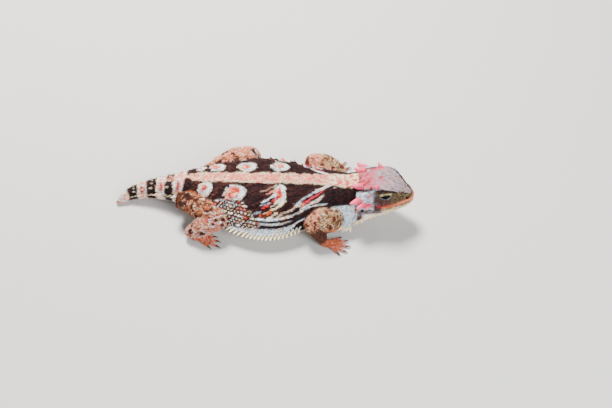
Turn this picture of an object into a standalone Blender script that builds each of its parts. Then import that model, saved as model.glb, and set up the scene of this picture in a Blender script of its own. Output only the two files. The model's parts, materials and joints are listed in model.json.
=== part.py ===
"""Life-size horned lizard, resting on its belly with its legs folded, as a museum model.

Sizes below are millimetres in the animal's own frame: X runs from tail to snout, Y to its left
and Z up from the floor. The last step moves the whole model so that the middle of its box stands
on the origin, and MM turns every length into Blender's metres.
"""

import math

import bmesh
import bpy
import numpy as np
from mathutils import Matrix, Vector

MM = 0.001
GAP = 0.3
HALF_GAP = GAP / 2
# How far apart the places are that give the midline's slope, and the hide's normal along X and t.
SLOPE_STEP = 0.5
NORMAL_STEP_X, NORMAL_STEP_T = 0.4, 0.02
# A tube rises straight up where its way across the floor is shorter than this.
UPRIGHT_BELOW = 0.05

# Along the body, from the tail's tip to the snout.
TAIL_TIP = -61.0
TAIL_BASE = -31.5
NECK_BASE = 26.5
SKULL_BACK = 34.5
SNOUT_TIP = 57.3

# The midline, as x and y: the tail sways to the left and the head turns a little to the right.
MIDLINE = np.array(
    [
        (-61.0, 2.2), (-54.0, 6.2), (-46.0, 6.8), (-37.0, 6.0), (-28.0, 4.3), (-18.0, 2.3),
        (-6.0, 0.8), (10.0, 0.0), (26.0, -0.3), (34.0, -0.9), (42.0, -2.2), (50.0, -3.7), (58.0, -5.3),
    ]
)

# One row a station: x, top, ridge y and z, edge y and z, low y and z, bottom.
# The ridge is the shoulder of the back, or the brow and the temporal shelf on the head.
# The edge carries the fringe, and the low point is the belly's or the jaw's corner.
BODY = np.array(
    [
        (-61.0, 2.2, 0.4, 1.9, 0.6, 1.2, 0.4, 0.4, 0.2),
        (-59.0, 3.6, 0.9, 3.1, 1.5, 1.9, 1.0, 0.2, -0.2),
        (-55.0, 5.6, 1.5, 4.9, 2.4, 2.9, 1.6, 0.4, 0.1),
        (-50.0, 7.6, 2.0, 6.7, 3.3, 4.0, 2.3, 1.1, 0.6),
        (-44.0, 9.4, 2.6, 8.4, 4.3, 5.2, 3.1, 1.9, 1.3),
        (-38.0, 11.3, 3.3, 10.2, 5.6, 6.3, 4.1, 2.4, 1.8),
        (-33.0, 13.3, 4.2, 12.3, 7.1, 6.9, 5.2, 2.5, 1.8),
        (-28.0, 15.0, 5.6, 14.0, 9.4, 6.6, 7.0, 1.6, 0.9),
        (-22.0, 16.5, 7.4, 15.2, 12.2, 6.2, 9.2, 0.8, 0.1),
        (-16.0, 17.4, 9.2, 15.7, 15.0, 5.8, 11.2, 0.5, -0.3),
        (-10.0, 18.0, 10.8, 15.9, 17.6, 5.5, 12.8, 0.4, -0.5),
        (-4.0, 18.3, 11.8, 15.9, 19.2, 5.3, 13.8, 0.4, -0.5),
        (2.0, 18.4, 12.0, 15.9, 19.6, 5.3, 14.0, 0.4, -0.5),
        (8.0, 18.2, 11.2, 15.8, 18.3, 5.5, 13.2, 0.5, -0.5),
        (13.0, 17.9, 9.9, 15.6, 16.0, 6.0, 11.6, 0.9, 0.0),
        (18.0, 17.6, 8.7, 15.4, 14.0, 6.7, 10.4, 1.7, 0.9),
        (22.0, 17.3, 7.8, 15.3, 12.8, 7.1, 9.8, 2.5, 1.7),
        (26.0, 17.2, 7.0, 15.3, 12.4, 6.8, 9.4, 3.1, 2.4),
        (30.0, 17.3, 6.2, 15.4, 13.2, 5.6, 9.2, 3.3, 2.8),
        (33.0, 17.8, 5.8, 16.1, 13.4, 5.4, 9.6, 3.7, 3.3),
        (34.5, 18.4, 5.8, 16.7, 12.6, 6.2, 9.8, 4.3, 3.9),
        (36.0, 19.3, 8.2, 17.0, 11.2, 8.6, 10.4, 5.2, 5.0),
        (38.3, 20.1, 8.6, 17.5, 10.2, 11.2, 9.9, 6.0, 5.7),
        (40.8, 20.7, 7.3, 19.2, 9.3, 12.2, 8.6, 7.0, 6.2),
        (43.3, 21.0, 6.2, 20.8, 8.2, 12.8, 7.8, 7.6, 6.7),
        (46.8, 20.9, 6.2, 20.5, 6.8, 13.4, 6.9, 8.4, 7.2),
        (49.8, 19.8, 5.5, 19.3, 6.1, 13.4, 5.9, 8.9, 7.9),
        (52.6, 18.1, 4.1, 17.6, 5.0, 13.3, 4.7, 9.6, 8.8),
        (55.0, 16.5, 3.0, 16.0, 3.8, 13.2, 3.5, 10.5, 9.9),
        (56.6, 15.3, 2.1, 14.9, 2.7, 13.1, 2.4, 11.4, 11.0),
        (57.3, 14.2, 1.2, 14.0, 1.5, 13.1, 1.3, 12.3, 12.1),
    ]
)
# Where the edge lies round the cross-section: t runs from 0 at the top to 1 at the bottom.
EDGE_T = 0.5

# The mouth's cut, as x and z: from the jaw's joint, round the corner, to the snout.
MOUTH = np.array(
    [(32.0, 13.2), (37.5, 12.4), (42.0, 11.2), (45.5, 10.9), (50.0, 11.6), (54.0, 12.5), (60.0, 13.8)]
)
MOUTH_CORNER_X = 43.5
# The block that parts the jaw from the head reaches past them by these.
BLOCK_HALF_WIDTH = 16.0
BLOCK_DEPTH = 12.0
BLOCK_STEP = 1.5
LIP_RADIUS = 0.42
LIP_END_SHARE = 0.55
LIP_SHORT_OF_SNOUT = 0.6
LIP_STEP = 1.5
# The mouth's line is sought on the cheek between these two t, which are halved this many times.
LIP_BETWEEN = (0.4, 0.9)
LIP_HALVINGS = 24
ROLL_SIDES = 6

EYE_X = 46.8
EYE_OUT = 5.0
EYE_Z = 18.0
EYE_RADIUS = 2.1
LID_RADIUS = 2.95
LID_HEIGHT_SHARE = 0.92
LID_OPENING = (1.7, 1.0, 2.0)
LID_TURN = math.radians(-12.0)
EYE_LOOKS_AHEAD = 0.22
EYE_LOOKS_UP = 0.10

NOSTRIL = (54.9, 2.9, 14.9)
NOSTRIL_RADIUS = 0.42
EAR_X = 38.9
EAR_T = 0.52
EAR_RADII = (0.85, 1.0, 1.35)
# The brow's ridge, as x and t on the skull, with its half-thickness.
BROW = ((45.0, 0.23, 0.45), (46.4, 0.235, 0.8), (48.2, 0.24, 0.85), (50.6, 0.245, 0.65), (53.2, 0.25, 0.35))
BROW_POINTS = 9

CORE_SIDES = 32
TAIL_SIDES = 24
LIMB_SIDES = 12
TOE_SIDES = 6
SPINE_SIDES = 5
# How far apart the cross-sections lie.
TORSO_STEP = 2.2
TAIL_STEP = 2.4
NECK_STEP = 1.35
HEAD_STEP = 1.3

# Rows of spines on the hide: t, the spine's length and its root's radius.
BACK_ROWS = ((0.09, 1.3, 0.80), (0.18, 1.6, 0.95), (0.27, 1.7, 1.0), (0.36, 1.5, 0.90), (0.43, 1.3, 0.80))
BACK_FIRST, BACK_LAST, BACK_STEP = -29.0, 21.0, 5.0
TAIL_ROWS = ((0.09, 1.2, 0.75), (0.27, 1.5, 0.85))
TAIL_ROW_STEP = 3.6
TAIL_ROW_FIRST, TAIL_ROW_LAST = TAIL_TIP + 7.0, TAIL_BASE - 3.4
NECK_ROWS = ((0.12, 1.1, 0.75), (0.24, 1.3, 0.75))
NECK_ROW_PLACES = (NECK_BASE + 2.2, NECK_BASE + 4.9)
# How far a spine of each region leans back, for one part out of the hide.
BACK_LEAN = 0.55
TAIL_LEAN = 0.9
NECK_LEAN = 0.8
FRINGE_LEAN = 0.4
JAW_LEAN = 0.55
LIMB_LEAN = 0.55
# How deep a spine's root sits, for one part of its radius.
SPINE_SINK = 1.3
# How far clear of the legs the spines of the back and of the fringe keep.
BACK_MARGIN = 1.6
FRINGE_MARGIN = 1.2


class Fringe:
    """A row of flat-lying spines along an edge: its ends, their spacing, and their shape."""

    def __init__(self, first, last, step, t, length, radius, rise, taper):
        self.first = first
        self.last = last
        self.step = step
        self.t = t
        self.length = length
        self.radius = radius
        self.rise = rise
        self.taper = taper


FLANK_FRINGE = Fringe(-19.0, 16.5, 1.55, EDGE_T, 2.7, 0.84, -0.1, 0.35)
NECK_FRINGE = Fringe(NECK_BASE + 1.6, SKULL_BACK - 0.9, 1.15, 0.56, 2.1, 0.78, -0.3, 0.1)
# The tail's fringe shrinks towards the tip, where its spines are this share of the largest.
TAIL_FRINGE = (TAIL_TIP + 3.5, TAIL_BASE - 4.0, 2.3)
TAIL_FRINGE_T, TAIL_FRINGE_LENGTH, TAIL_FRINGE_RADIUS, TAIL_FRINGE_RISE = 0.46, 2.4, 0.85, 0.15
TAIL_FRINGE_TIP_SHARE = 0.45
TAIL_ROW_TIP_SHARE = 0.5
# The jaw's spines, as x and length, from the neck to the middle of the mouth.
JAW_SPINES = (
    (36.2, 2.4), (37.8, 2.5), (39.4, 2.4), (41.0, 2.2), (42.6, 2.0), (44.2, 1.8), (45.9, 1.6), (47.7, 1.4),
)
JAW_SPINE_T, JAW_SPINE_RADIUS, JAW_SPINE_RISE = 0.72, 0.8, -0.35
# A leg's spines: places along the stretch, their length and their root's radius.
LIMB_SPINES = {"upper": ((0.22, 0.44, 0.66, 0.88), 1.5, 0.85), "lower": ((0.22, 0.48, 0.74), 1.3, 0.75)}
# The rows they stand in, as angles in radians from the outer side, and each second row's shift.
LIMB_SPINE_ROWS = (-0.75, -0.1, 0.6, 1.3)
LIMB_ROW_SHIFT = 0.08
# How far the outer side of a leg is turned up, for one part out.
OUTER_RISE = 0.25


class Limb:
    """One leg: where its joints are, how thick it is, and where its toes point."""

    def __init__(self, name, side, root, joint, end, thickness, foot):
        self.name = name
        self.side = side
        self.root = Vector(root)
        self.joint = Vector(joint)
        self.end = Vector(end)
        self.thickness = thickness
        self.foot = foot


# Radii of a leg: at its root, in the middle of its upper stretch, at the joint, in the middle of
# its lower stretch, and at its end.
FORE_THICKNESS = (4.6, 4.8, 3.9, 3.2, 2.0)
HIND_THICKNESS = (4.8, 5.1, 4.5, 4.3, 2.5)
NEAR_HIND_THICKNESS = (4.5, 4.7, 4.4, 4.4, 2.6)
# A foot's toes: lengths from the inner one out, the fan they span, and the way they point.
FORE_TOES = (4.6, 6.0, 6.6, 6.2, 4.8)
HIND_TOES = (4.2, 6.0, 7.6, 8.6, 6.0)
FORE_FAN = math.radians(100.0)
HIND_FAN = math.radians(70.0)

LIMBS = (
    Limb("foreleg_right", -1, (25.2, -12.6, 7.8), (18.6, -15.8, 8.4), (22.0, -18.8, 2.9),
         FORE_THICKNESS, (FORE_TOES, math.radians(84.0), math.radians(-8.0))),
    Limb("foreleg_left", 1, (26.8, 11.4, 9.4), (18.8, 16.8, 9.2), (23.6, 20.4, 2.9),
         FORE_THICKNESS, (FORE_TOES, FORE_FAN, math.radians(10.0))),
    Limb("hindleg_right", -1, (-30.0, -5.0, 9.5), (-19.4, -12.8, 8.2), (-29.4, -15.0, 3.4),
         NEAR_HIND_THICKNESS, (HIND_TOES, math.radians(60.0), math.radians(-14.0))),
    Limb("hindleg_left", 1, (-24.0, 9.0, 9.0), (-7.6, 20.8, 8.4), (-21.0, 22.6, 3.6),
         HIND_THICKNESS, (HIND_TOES, HIND_FAN, math.radians(22.0))),
)
INNER_ROOT_Y = 4.0
UPPER_NAMES = {"fore": "upper_arm", "hind": "thigh"}
LOWER_NAMES = {"fore": "forearm", "hind": "shank"}
# The inner end of a leg, inside the trunk, is this share of its root's thickness. It lies in
# line with the leg by this share of the way from the joint to the root.
INNER_SHARE = 0.7
INNER_REACH = 0.5
# How far the middles of a leg's two stretches bulge up, and the lower one's out.
UPPER_BULGE = 1.0
CALF_RISE, CALF_OUT, CALF_PLACE = 0.6, 0.5, 0.45
# The palm lies ahead of the leg's end, and reaches back under it. Its heights and radii are
# those of its heel, its middle and its front.
SOLE_AHEAD = 2.0
HEEL_BACK = 3.0
PALM_AHEAD = 1.6
PALM_HEIGHTS = (1.1, 1.15, 1.0)
PALM_RADII = (1.1, 2.1, 1.5)
PALM_FLATNESS = 0.8
PALM_POINTS = 6
# The toes start this far from the palm's middle, and rise in a low arch.
TOE_START = 0.6
TOE_KNUCKLE = 0.45
TOE_HEIGHTS = (0.95, 1.30, 0.55)
TOE_RADII = (0.85, 0.72, 0.5)
TOE_POINTS = 5
CLAW_LENGTH = 1.9
CLAW_RADIUS = 0.42
CLAW_ROOT_BACK = 0.5
CLAW_DROP = 0.38
# How many rings a stretch of leg and a palm have.
UPPER_POINTS = 10
LOWER_POINTS = 8
# The rings of the dome that ends a leg's stretch, as angles from its widest.
DOME_ANGLES = (30.0, 55.0, 76.0)

# Horns: x and t of the root on the skull, the way it points, its length and its root's radius.
HORNS = (
    ("occipital", 36.4, 0.12, (-0.97, 0.10, 0.02), 3.2, 1.5),
    ("temporal_upper", 36.4, 0.30, (-0.78, 0.60, -0.02), 3.3, 1.45),
    ("temporal_middle", 38.6, 0.38, (-0.62, 0.76, -0.08), 2.9, 1.3),
    ("temporal_lower", 41.0, 0.45, (-0.45, 0.87, -0.15), 2.3, 1.1),
    ("postorbital", 43.3, 0.22, (-0.60, 0.45, 0.62), 1.8, 1.05),
)
HORN_SINK = 1.6
HORN_SIDES = 8
HORN_STATIONS = (0.0, 0.3, 0.55, 0.78, 0.94, 1.0)
HORN_TAPER = (1.0, 0.92, 0.72, 0.46, 0.22, 0.07)
# How far a horn's tip curves up, as a share of its length.
HORN_LIFT = 0.10

HIDE_DARK = (0.118, 0.062, 0.052, 1.0)
HIDE_PINK = (0.620, 0.330, 0.262, 1.0)
HIDE_GREY = (0.420, 0.440, 0.470, 1.0)
HORN_PINK = (0.640, 0.245, 0.250, 1.0)
EYE_BLACK = (0.015, 0.011, 0.009, 1.0)
JAW_OLIVE = (0.470, 0.440, 0.300, 1.0)
# Edges sharper than this stay sharp.
SHARP_FROM = math.radians(40.0)


def clear_scene():
    for obj in list(bpy.data.objects):
        bpy.data.objects.remove(obj, do_unlink=True)


def collection(name):
    made = bpy.data.collections.new(name)
    bpy.context.scene.collection.children.link(made)
    return made


def finish(name, colour, roughness):
    material = bpy.data.materials.new(name)
    material.use_nodes = True
    shader = material.node_tree.nodes["Principled BSDF"]
    shader.inputs["Base Color"].default_value = colour
    shader.inputs["Roughness"].default_value = roughness
    shader.inputs["Metallic"].default_value = 0.0
    return material


def row_at(table, x):
    """The table's row at x, on a cubic through its stations that never overshoots them."""
    stations, values = table[:, 0], table[:, 1:]
    x = min(max(x, stations[0]), stations[-1])
    i = int(min(np.searchsorted(stations, x, side="right") - 1, len(stations) - 2))
    step = np.diff(stations)[:, None]
    rise = np.diff(values, axis=0) / step

    def slope(k):
        if k == 0:
            return rise[0]
        if k == len(stations) - 1:
            return rise[-1]
        a, b = rise[k - 1], rise[k]
        mean = 2 * a * b / np.where(a + b == 0, 1, a + b)
        return np.where(a * b > 0, mean, 0.0)

    h = stations[i + 1] - stations[i]
    u = (x - stations[i]) / h
    return (
        (1 + 2 * u) * (1 - u) ** 2 * values[i]
        + u * (1 - u) ** 2 * h * slope(i)
        + u * u * (3 - 2 * u) * values[i + 1]
        + u * u * (u - 1) * h * slope(i + 1)
    )


def midline(x):
    """The midline's sideways place and its slope at x."""
    ahead, behind = float(row_at(MIDLINE, x + SLOPE_STEP)[0]), float(row_at(MIDLINE, x - SLOPE_STEP)[0])
    return float(row_at(MIDLINE, x)[0]), (ahead - behind) / (2 * SLOPE_STEP)


def in_body(x, y, z):
    """A point y to the left of the midline, in the plane square to it at x."""
    place, slope = midline(x)
    along = math.hypot(1, slope)
    return Vector((x - y * slope / along, place + y / along, max(z, 0.0)))


def section_point(row, t):
    """A point of the cross-section, from the top at t = 0 by the left side to the bottom at 1."""
    top, ridge_y, ridge_z, edge_y, edge_z, low_y, low_z, bottom = row
    keys = [(-ridge_y, ridge_z), (0, top), (ridge_y, ridge_z), (edge_y, edge_z),
            (low_y, low_z), (0, bottom), (-low_y, low_z)]
    whole = min(int(t * 4), 3)
    u = t * 4 - whole
    p0, p1, p2, p3 = (np.array(keys[whole + k], float) for k in range(4))
    return 0.5 * (2 * p1 + (p2 - p0) * u + (2 * p0 - 5 * p1 + 4 * p2 - p3) * u**2
                  + (3 * p1 - p0 - 3 * p2 + p3) * u**3)


def hide_point(x, t, side):
    y, z = section_point(row_at(BODY, x), t)
    return in_body(x, side * y, z)


def hide_normal(x, t, side):
    along = hide_point(x + NORMAL_STEP_X, t, side) - hide_point(x - NORMAL_STEP_X, t, side)
    low, high = max(t - NORMAL_STEP_T, 0.0), min(t + NORMAL_STEP_T, 1.0)
    around = hide_point(x, high, side) - hide_point(x, low, side)
    return along.cross(around).normalized() * side


def ring(x, sides):
    half = sides // 2
    left = [hide_point(x, k / half, 1) for k in range(half + 1)]
    right = [hide_point(x, k / half, -1) for k in range(1, half)]
    return left + right[::-1]


def mesh_object(name, bm, home):
    bmesh.ops.recalc_face_normals(bm, faces=bm.faces)
    mesh = bpy.data.meshes.new(name)
    bm.to_mesh(mesh)
    bm.free()
    obj = bpy.data.objects.new(name, mesh)
    home.objects.link(obj)
    return obj


def loft(name, rings, home):
    """A closed skin over rings of as many points each, with a flat cap at each end."""
    bm = bmesh.new()
    rows = [[bm.verts.new(point * MM) for point in points] for points in rings]
    sides = len(rows[0])
    for a, b in zip(rows, rows[1:]):
        for k in range(sides):
            n = (k + 1) % sides
            bm.faces.new((a[k], a[n], b[n], b[k]))
    bm.faces.new(rows[0][::-1])
    bm.faces.new(rows[-1])
    return mesh_object(name, bm, home)


def tube_path(points, count):
    """Points evenly along a smooth curve through the given ones."""
    ends = [points[0] * 2 - points[1], *points, points[-1] * 2 - points[-2]]
    made = []
    for k in range(count):
        s = k / (count - 1) * (len(points) - 1)
        i = min(int(s), len(points) - 2)
        u = s - i
        p0, p1, p2, p3 = ends[i:i + 4]
        made.append(0.5 * (2 * p1 + (p2 - p0) * u + (2 * p0 - 5 * p1 + 4 * p2 - p3) * u * u
                           + (3 * p1 - p0 - 3 * p2 + p3) * u**3))
    return made


def tube_rings(centres, radii, sides, flat=1.0):
    """Round rings square to a path, flat times as tall as they are wide."""
    rings = []
    for k, centre in enumerate(centres):
        before, after = centres[max(k - 1, 0)], centres[min(k + 1, len(centres) - 1)]
        ahead = (after - before).normalized()
        across = ahead.cross(Vector((0, 0, 1)))
        across = across.normalized() if across.length > UPRIGHT_BELOW else Vector((0, 1, 0))
        up = across.cross(ahead).normalized()
        rings.append([
            centre + across * (radii[k] * math.cos(a)) + up * (radii[k] * flat * math.sin(a))
            for a in (2 * math.pi * s / sides for s in range(sides))
        ])
    return rings


def on_floor(rings):
    return [[Vector((p.x, p.y, max(p.z, 0.0))) for p in points] for points in rings]


def round_ended(centres, radii, sides):
    """A tube's rings with a dome added at the far end."""
    ahead = (centres[-1] - centres[-2]).normalized()
    radius = radii[-1]
    domes = [math.radians(a) for a in DOME_ANGLES]
    centres = [*centres, *(centres[-1] + ahead * (radius * math.sin(a)) for a in domes)]
    radii = [*radii, *(radius * math.cos(a) for a in domes)]
    return on_floor(tube_rings(centres, radii, sides))


def blended(values, count):
    """The given values spread evenly over count places."""
    places = np.linspace(0, len(values) - 1, count)
    return [float(v) for v in np.interp(places, range(len(values)), values)]


def ball(name, centre, radii, home, turn=Matrix(), segments=14, rings=8):
    bm = bmesh.new()
    size = Matrix.Diagonal((*[r * MM for r in radii], 1))
    matrix = Matrix.Translation(centre * MM) @ turn.to_4x4() @ size
    bmesh.ops.create_uvsphere(bm, u_segments=segments, v_segments=rings, radius=1.0, matrix=matrix)
    return mesh_object(name, bm, home)


def cone(name, root, tip, radius, home, sides=SPINE_SIDES):
    """A pointed cone from root to tip, with its wide end at the root."""
    bm = bmesh.new()
    way = tip - root
    turn = way.to_track_quat("Z", "Y").to_matrix().to_4x4()
    matrix = Matrix.Translation((root + tip) / 2 * MM) @ turn
    bmesh.ops.create_cone(bm, cap_ends=True, segments=sides, radius1=radius * MM, radius2=0.0,
                          depth=way.length * MM, matrix=matrix)
    return mesh_object(name, bm, home)


def apply_modifiers(obj):
    graph = bpy.context.evaluated_depsgraph_get()
    mesh = bpy.data.meshes.new_from_object(obj.evaluated_get(graph))
    obj.modifiers.clear()
    old = obj.data
    obj.data = mesh
    bpy.data.meshes.remove(old)


def combine(obj, others, operation):
    """Joins or cuts obj with a collection of closed objects, which are then removed.

    The manifold solver is used because the exact one is slow where many spines cross.
    """
    boolean = obj.modifiers.new("combine", "BOOLEAN")
    boolean.operand_type = "COLLECTION"
    boolean.collection = others
    boolean.operation = operation
    boolean.solver = "MANIFOLD"
    bpy.context.view_layer.update()
    apply_modifiers(obj)
    remove_collection(others)
    keep_largest(obj)


def combine_with(obj, other, operation, keep_other=False):
    boolean = obj.modifiers.new("combine", "BOOLEAN")
    boolean.object = other
    boolean.operation = operation
    boolean.solver = "MANIFOLD"
    bpy.context.view_layer.update()
    apply_modifiers(obj)
    if not keep_other:
        bpy.data.objects.remove(other, do_unlink=True)
    keep_largest(obj)


def remove_collection(group):
    for obj in list(group.objects):
        bpy.data.objects.remove(obj, do_unlink=True)
    bpy.data.collections.remove(group)


def keep_largest(obj):
    """Keeps the closed surface that holds most, and drops scraps and sealed hollows."""
    bm = bmesh.new()
    bm.from_mesh(obj.data)
    left, bodies = set(bm.verts), []
    while left:
        stack, found = [left.pop()], set()
        found.add(stack[0])
        while stack:
            vert = stack.pop()
            for edge in vert.link_edges:
                other = edge.other_vert(vert)
                if other in left:
                    left.discard(other)
                    found.add(other)
                    stack.append(other)
        bodies.append(found)

    def reach(body):
        low = [min(v.co[k] for v in body) for k in range(3)]
        high = [max(v.co[k] for v in body) for k in range(3)]
        return math.dist(low, high)

    bodies.sort(key=reach)
    for body in bodies[:-1]:
        bmesh.ops.delete(bm, geom=list(body), context="VERTS")
    bm.to_mesh(obj.data)
    bm.free()


def swollen(obj, by, home):
    """A copy grown outwards, which cuts a neighbour so that it follows the surface with a gap."""
    mesh = obj.data.copy()
    bm = bmesh.new()
    bm.from_mesh(mesh)
    bm.normal_update()
    places = [v.co + v.normal * (by * MM) for v in bm.verts]
    for vert, place in zip(bm.verts, places):
        vert.co = place
    bm.to_mesh(mesh)
    bm.free()
    copy = bpy.data.objects.new(obj.name + "_swollen", mesh)
    home.objects.link(copy)
    copy.hide_render = True
    copy.display_type = "WIRE"
    return copy


def trimmed(obj, point, normal):
    """Cuts off what lies beyond a plane, and closes the cut."""
    bm = bmesh.new()
    bm.from_mesh(obj.data)
    geometry = bm.verts[:] + bm.edges[:] + bm.faces[:]
    bmesh.ops.bisect_plane(bm, geom=geometry, plane_co=point * MM, plane_no=normal, clear_outer=True)
    bmesh.ops.holes_fill(bm, edges=[e for e in bm.edges if e.is_boundary], sides=0)
    bmesh.ops.recalc_face_normals(bm, faces=bm.faces)
    bm.to_mesh(obj.data)
    bm.free()


def stations(first, last, step):
    """Evenly spaced places along the body with both ends kept."""
    count = max(2, round((last - first) / step) + 1)
    return [first + (last - first) * k / (count - 1) for k in range(count)]


def core(name, first, last, step, sides, home):
    return loft(name, [ring(x, sides) for x in stations(first, last, step)], home)


def surface_spine(group, x, t, side, height, radius, back, rise=0.0):
    """One spine on the hide that leans back, with its root well in."""
    root = hide_point(x, t, side)
    way = (hide_normal(x, t, side) + Vector((-back, 0, rise))).normalized()
    start = root - way * (radius * SPINE_SINK)
    cone("spine", start, root + way * height, radius, group)


def near_limb(point, margin):
    """Whether a point of the hide lies under or close to a leg."""
    for limb in LIMBS:
        reach = limb.thickness[1] + margin
        for a, b in ((limb.root, limb.joint), (limb.joint, limb.end)):
            along = b - a
            u = min(1.0, max(0.0, (point - a).dot(along) / along.length_squared))
            if (point - (a + along * u)).length < reach:
                return True
    return False


def back_spines(group):
    """Scattered spines of the back and flanks, in staggered rows."""
    for row, (t, height, radius) in enumerate(BACK_ROWS):
        x = BACK_FIRST + BACK_STEP * (0.5 if row % 2 else 0.0)
        while x < BACK_LAST:
            for side in (1, -1):
                if not near_limb(hide_point(x, t, side), BACK_MARGIN):
                    surface_spine(group, x, t, side, height, radius, BACK_LEAN)
            x += BACK_STEP


def fringe_spines(group, row):
    """The spines of a fringe, longest in its middle."""
    for x in stations(row.first, row.last, row.step):
        from_middle = abs(2 * (x - row.first) / (row.last - row.first) - 1)
        size = 1 - row.taper * from_middle
        length, radius = row.length * size, row.radius * size
        for side in (1, -1):
            if not near_limb(hide_point(x, row.t, side), FRINGE_MARGIN):
                surface_spine(group, x, row.t, side, length, radius, FRINGE_LEAN, row.rise)


def torso(home):
    return core("torso", TAIL_BASE + HALF_GAP, NECK_BASE - HALF_GAP, TORSO_STEP, CORE_SIDES, home)


def add_torso_spines(obj):
    group = collection("torso spines")
    back_spines(group)
    fringe_spines(group, FLANK_FRINGE)
    combine(obj, group, "UNION")


def tail(home):
    return core("tail", TAIL_TIP, TAIL_BASE - HALF_GAP, TAIL_STEP, TAIL_SIDES, home)


def along_tail(x, tip_share):
    """How large a spine is at x, from its share at the tip to 1 at the base."""
    return tip_share + (1 - tip_share) * (x - TAIL_TIP) / (TAIL_BASE - TAIL_TIP)


def add_tail_spines(obj):
    group = collection("tail spines")
    for row, (t, height, radius) in enumerate(TAIL_ROWS):
        for x in stations(TAIL_ROW_FIRST, TAIL_ROW_LAST - row, TAIL_ROW_STEP):
            size = along_tail(x, TAIL_ROW_TIP_SHARE)
            for side in (1, -1):
                surface_spine(group, x, t, side, height * size, radius * size, TAIL_LEAN)
    for x in stations(*TAIL_FRINGE):
        size = along_tail(x, TAIL_FRINGE_TIP_SHARE)
        length, radius = TAIL_FRINGE_LENGTH * size, TAIL_FRINGE_RADIUS * size
        for side in (1, -1):
            surface_spine(group, x, TAIL_FRINGE_T, side, length, radius, TAIL_LEAN, TAIL_FRINGE_RISE)
    combine(obj, group, "UNION")


def neck(home):
    return core("neck", NECK_BASE + HALF_GAP, SKULL_BACK - HALF_GAP, NECK_STEP, CORE_SIDES, home)


def add_neck_spines(obj):
    group = collection("neck spines")
    fringe_spines(group, NECK_FRINGE)
    for t, height, radius in NECK_ROWS:
        for x in NECK_ROW_PLACES:
            for side in (1, -1):
                surface_spine(group, x, t, side, height, radius, NECK_LEAN)
    combine(obj, group, "UNION")


def mouth_height(x):
    return float(row_at(MOUTH, x)[0])


def lip_point(x, side):
    """Where the mouth's line meets the cheek at x."""
    height, row = mouth_height(x), row_at(BODY, x)
    low, high = LIP_BETWEEN
    for _ in range(LIP_HALVINGS):
        t = (low + high) / 2
        low, high = (t, high) if section_point(row, t)[1] > height else (low, t)
    return hide_point(x, t, side)


def lips(group):
    """A thin roll along the mouth on each cheek, which the cut parts into two lips."""
    places = stations(MOUTH_CORNER_X, SNOUT_TIP - LIP_SHORT_OF_SNOUT, LIP_STEP)
    turns = [math.pi * (k + 1) / (len(places) + 1) for k in range(len(places))]
    radii = [LIP_RADIUS * (LIP_END_SHARE + (1 - LIP_END_SHARE) * math.sin(a)) for a in turns]
    for side in (1, -1):
        points = [lip_point(x, side) for x in places]
        loft("lip", tube_rings(points, radii, ROLL_SIDES), group)


def brows(group):
    """A ridge over each eye, from the postorbital horn to the snout."""
    for side in (1, -1):
        points = [hide_point(x, t, side) for x, t, _ in BROW]
        radii = blended([radius for _, _, radius in BROW], BROW_POINTS)
        loft("brow", tube_rings(tube_path(points, BROW_POINTS), radii, ROLL_SIDES), group)


def eye_place(side):
    return in_body(EYE_X, side * EYE_OUT, EYE_Z)


def facing_out(side):
    """Turns a ball's X along the head and its Z out of the cheek, a little forward."""
    place, slope = midline(EYE_X)
    ahead = Vector((1, slope, 0)).normalized()
    sideways = Vector((-slope, 1, 0)).normalized() * side
    out = (sideways + ahead * EYE_LOOKS_AHEAD + Vector((0, 0, EYE_LOOKS_UP))).normalized()
    long_way = Matrix.Rotation(side * LID_TURN, 3, out) @ (ahead - out * ahead.dot(out)).normalized()
    return Matrix((long_way, out.cross(long_way), out)).transposed()


def mouth_block(name, shift, home):
    """All that lies under the mouth's surface, raised by shift: it parts the jaw from the head."""
    rings = []
    for x in stations(MOUTH[0, 0], MOUTH[-1, 0], BLOCK_STEP):
        top = mouth_height(x) + shift
        bottom = top - BLOCK_DEPTH
        corners = ((BLOCK_HALF_WIDTH, top), (-BLOCK_HALF_WIDTH, top),
                   (-BLOCK_HALF_WIDTH, bottom), (BLOCK_HALF_WIDTH, bottom))
        rings.append([Vector((x, y, height)) for y, height in corners])
    block = loft(name, rings, home)
    block.hide_render = True
    block.display_type = "WIRE"
    return block


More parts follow.
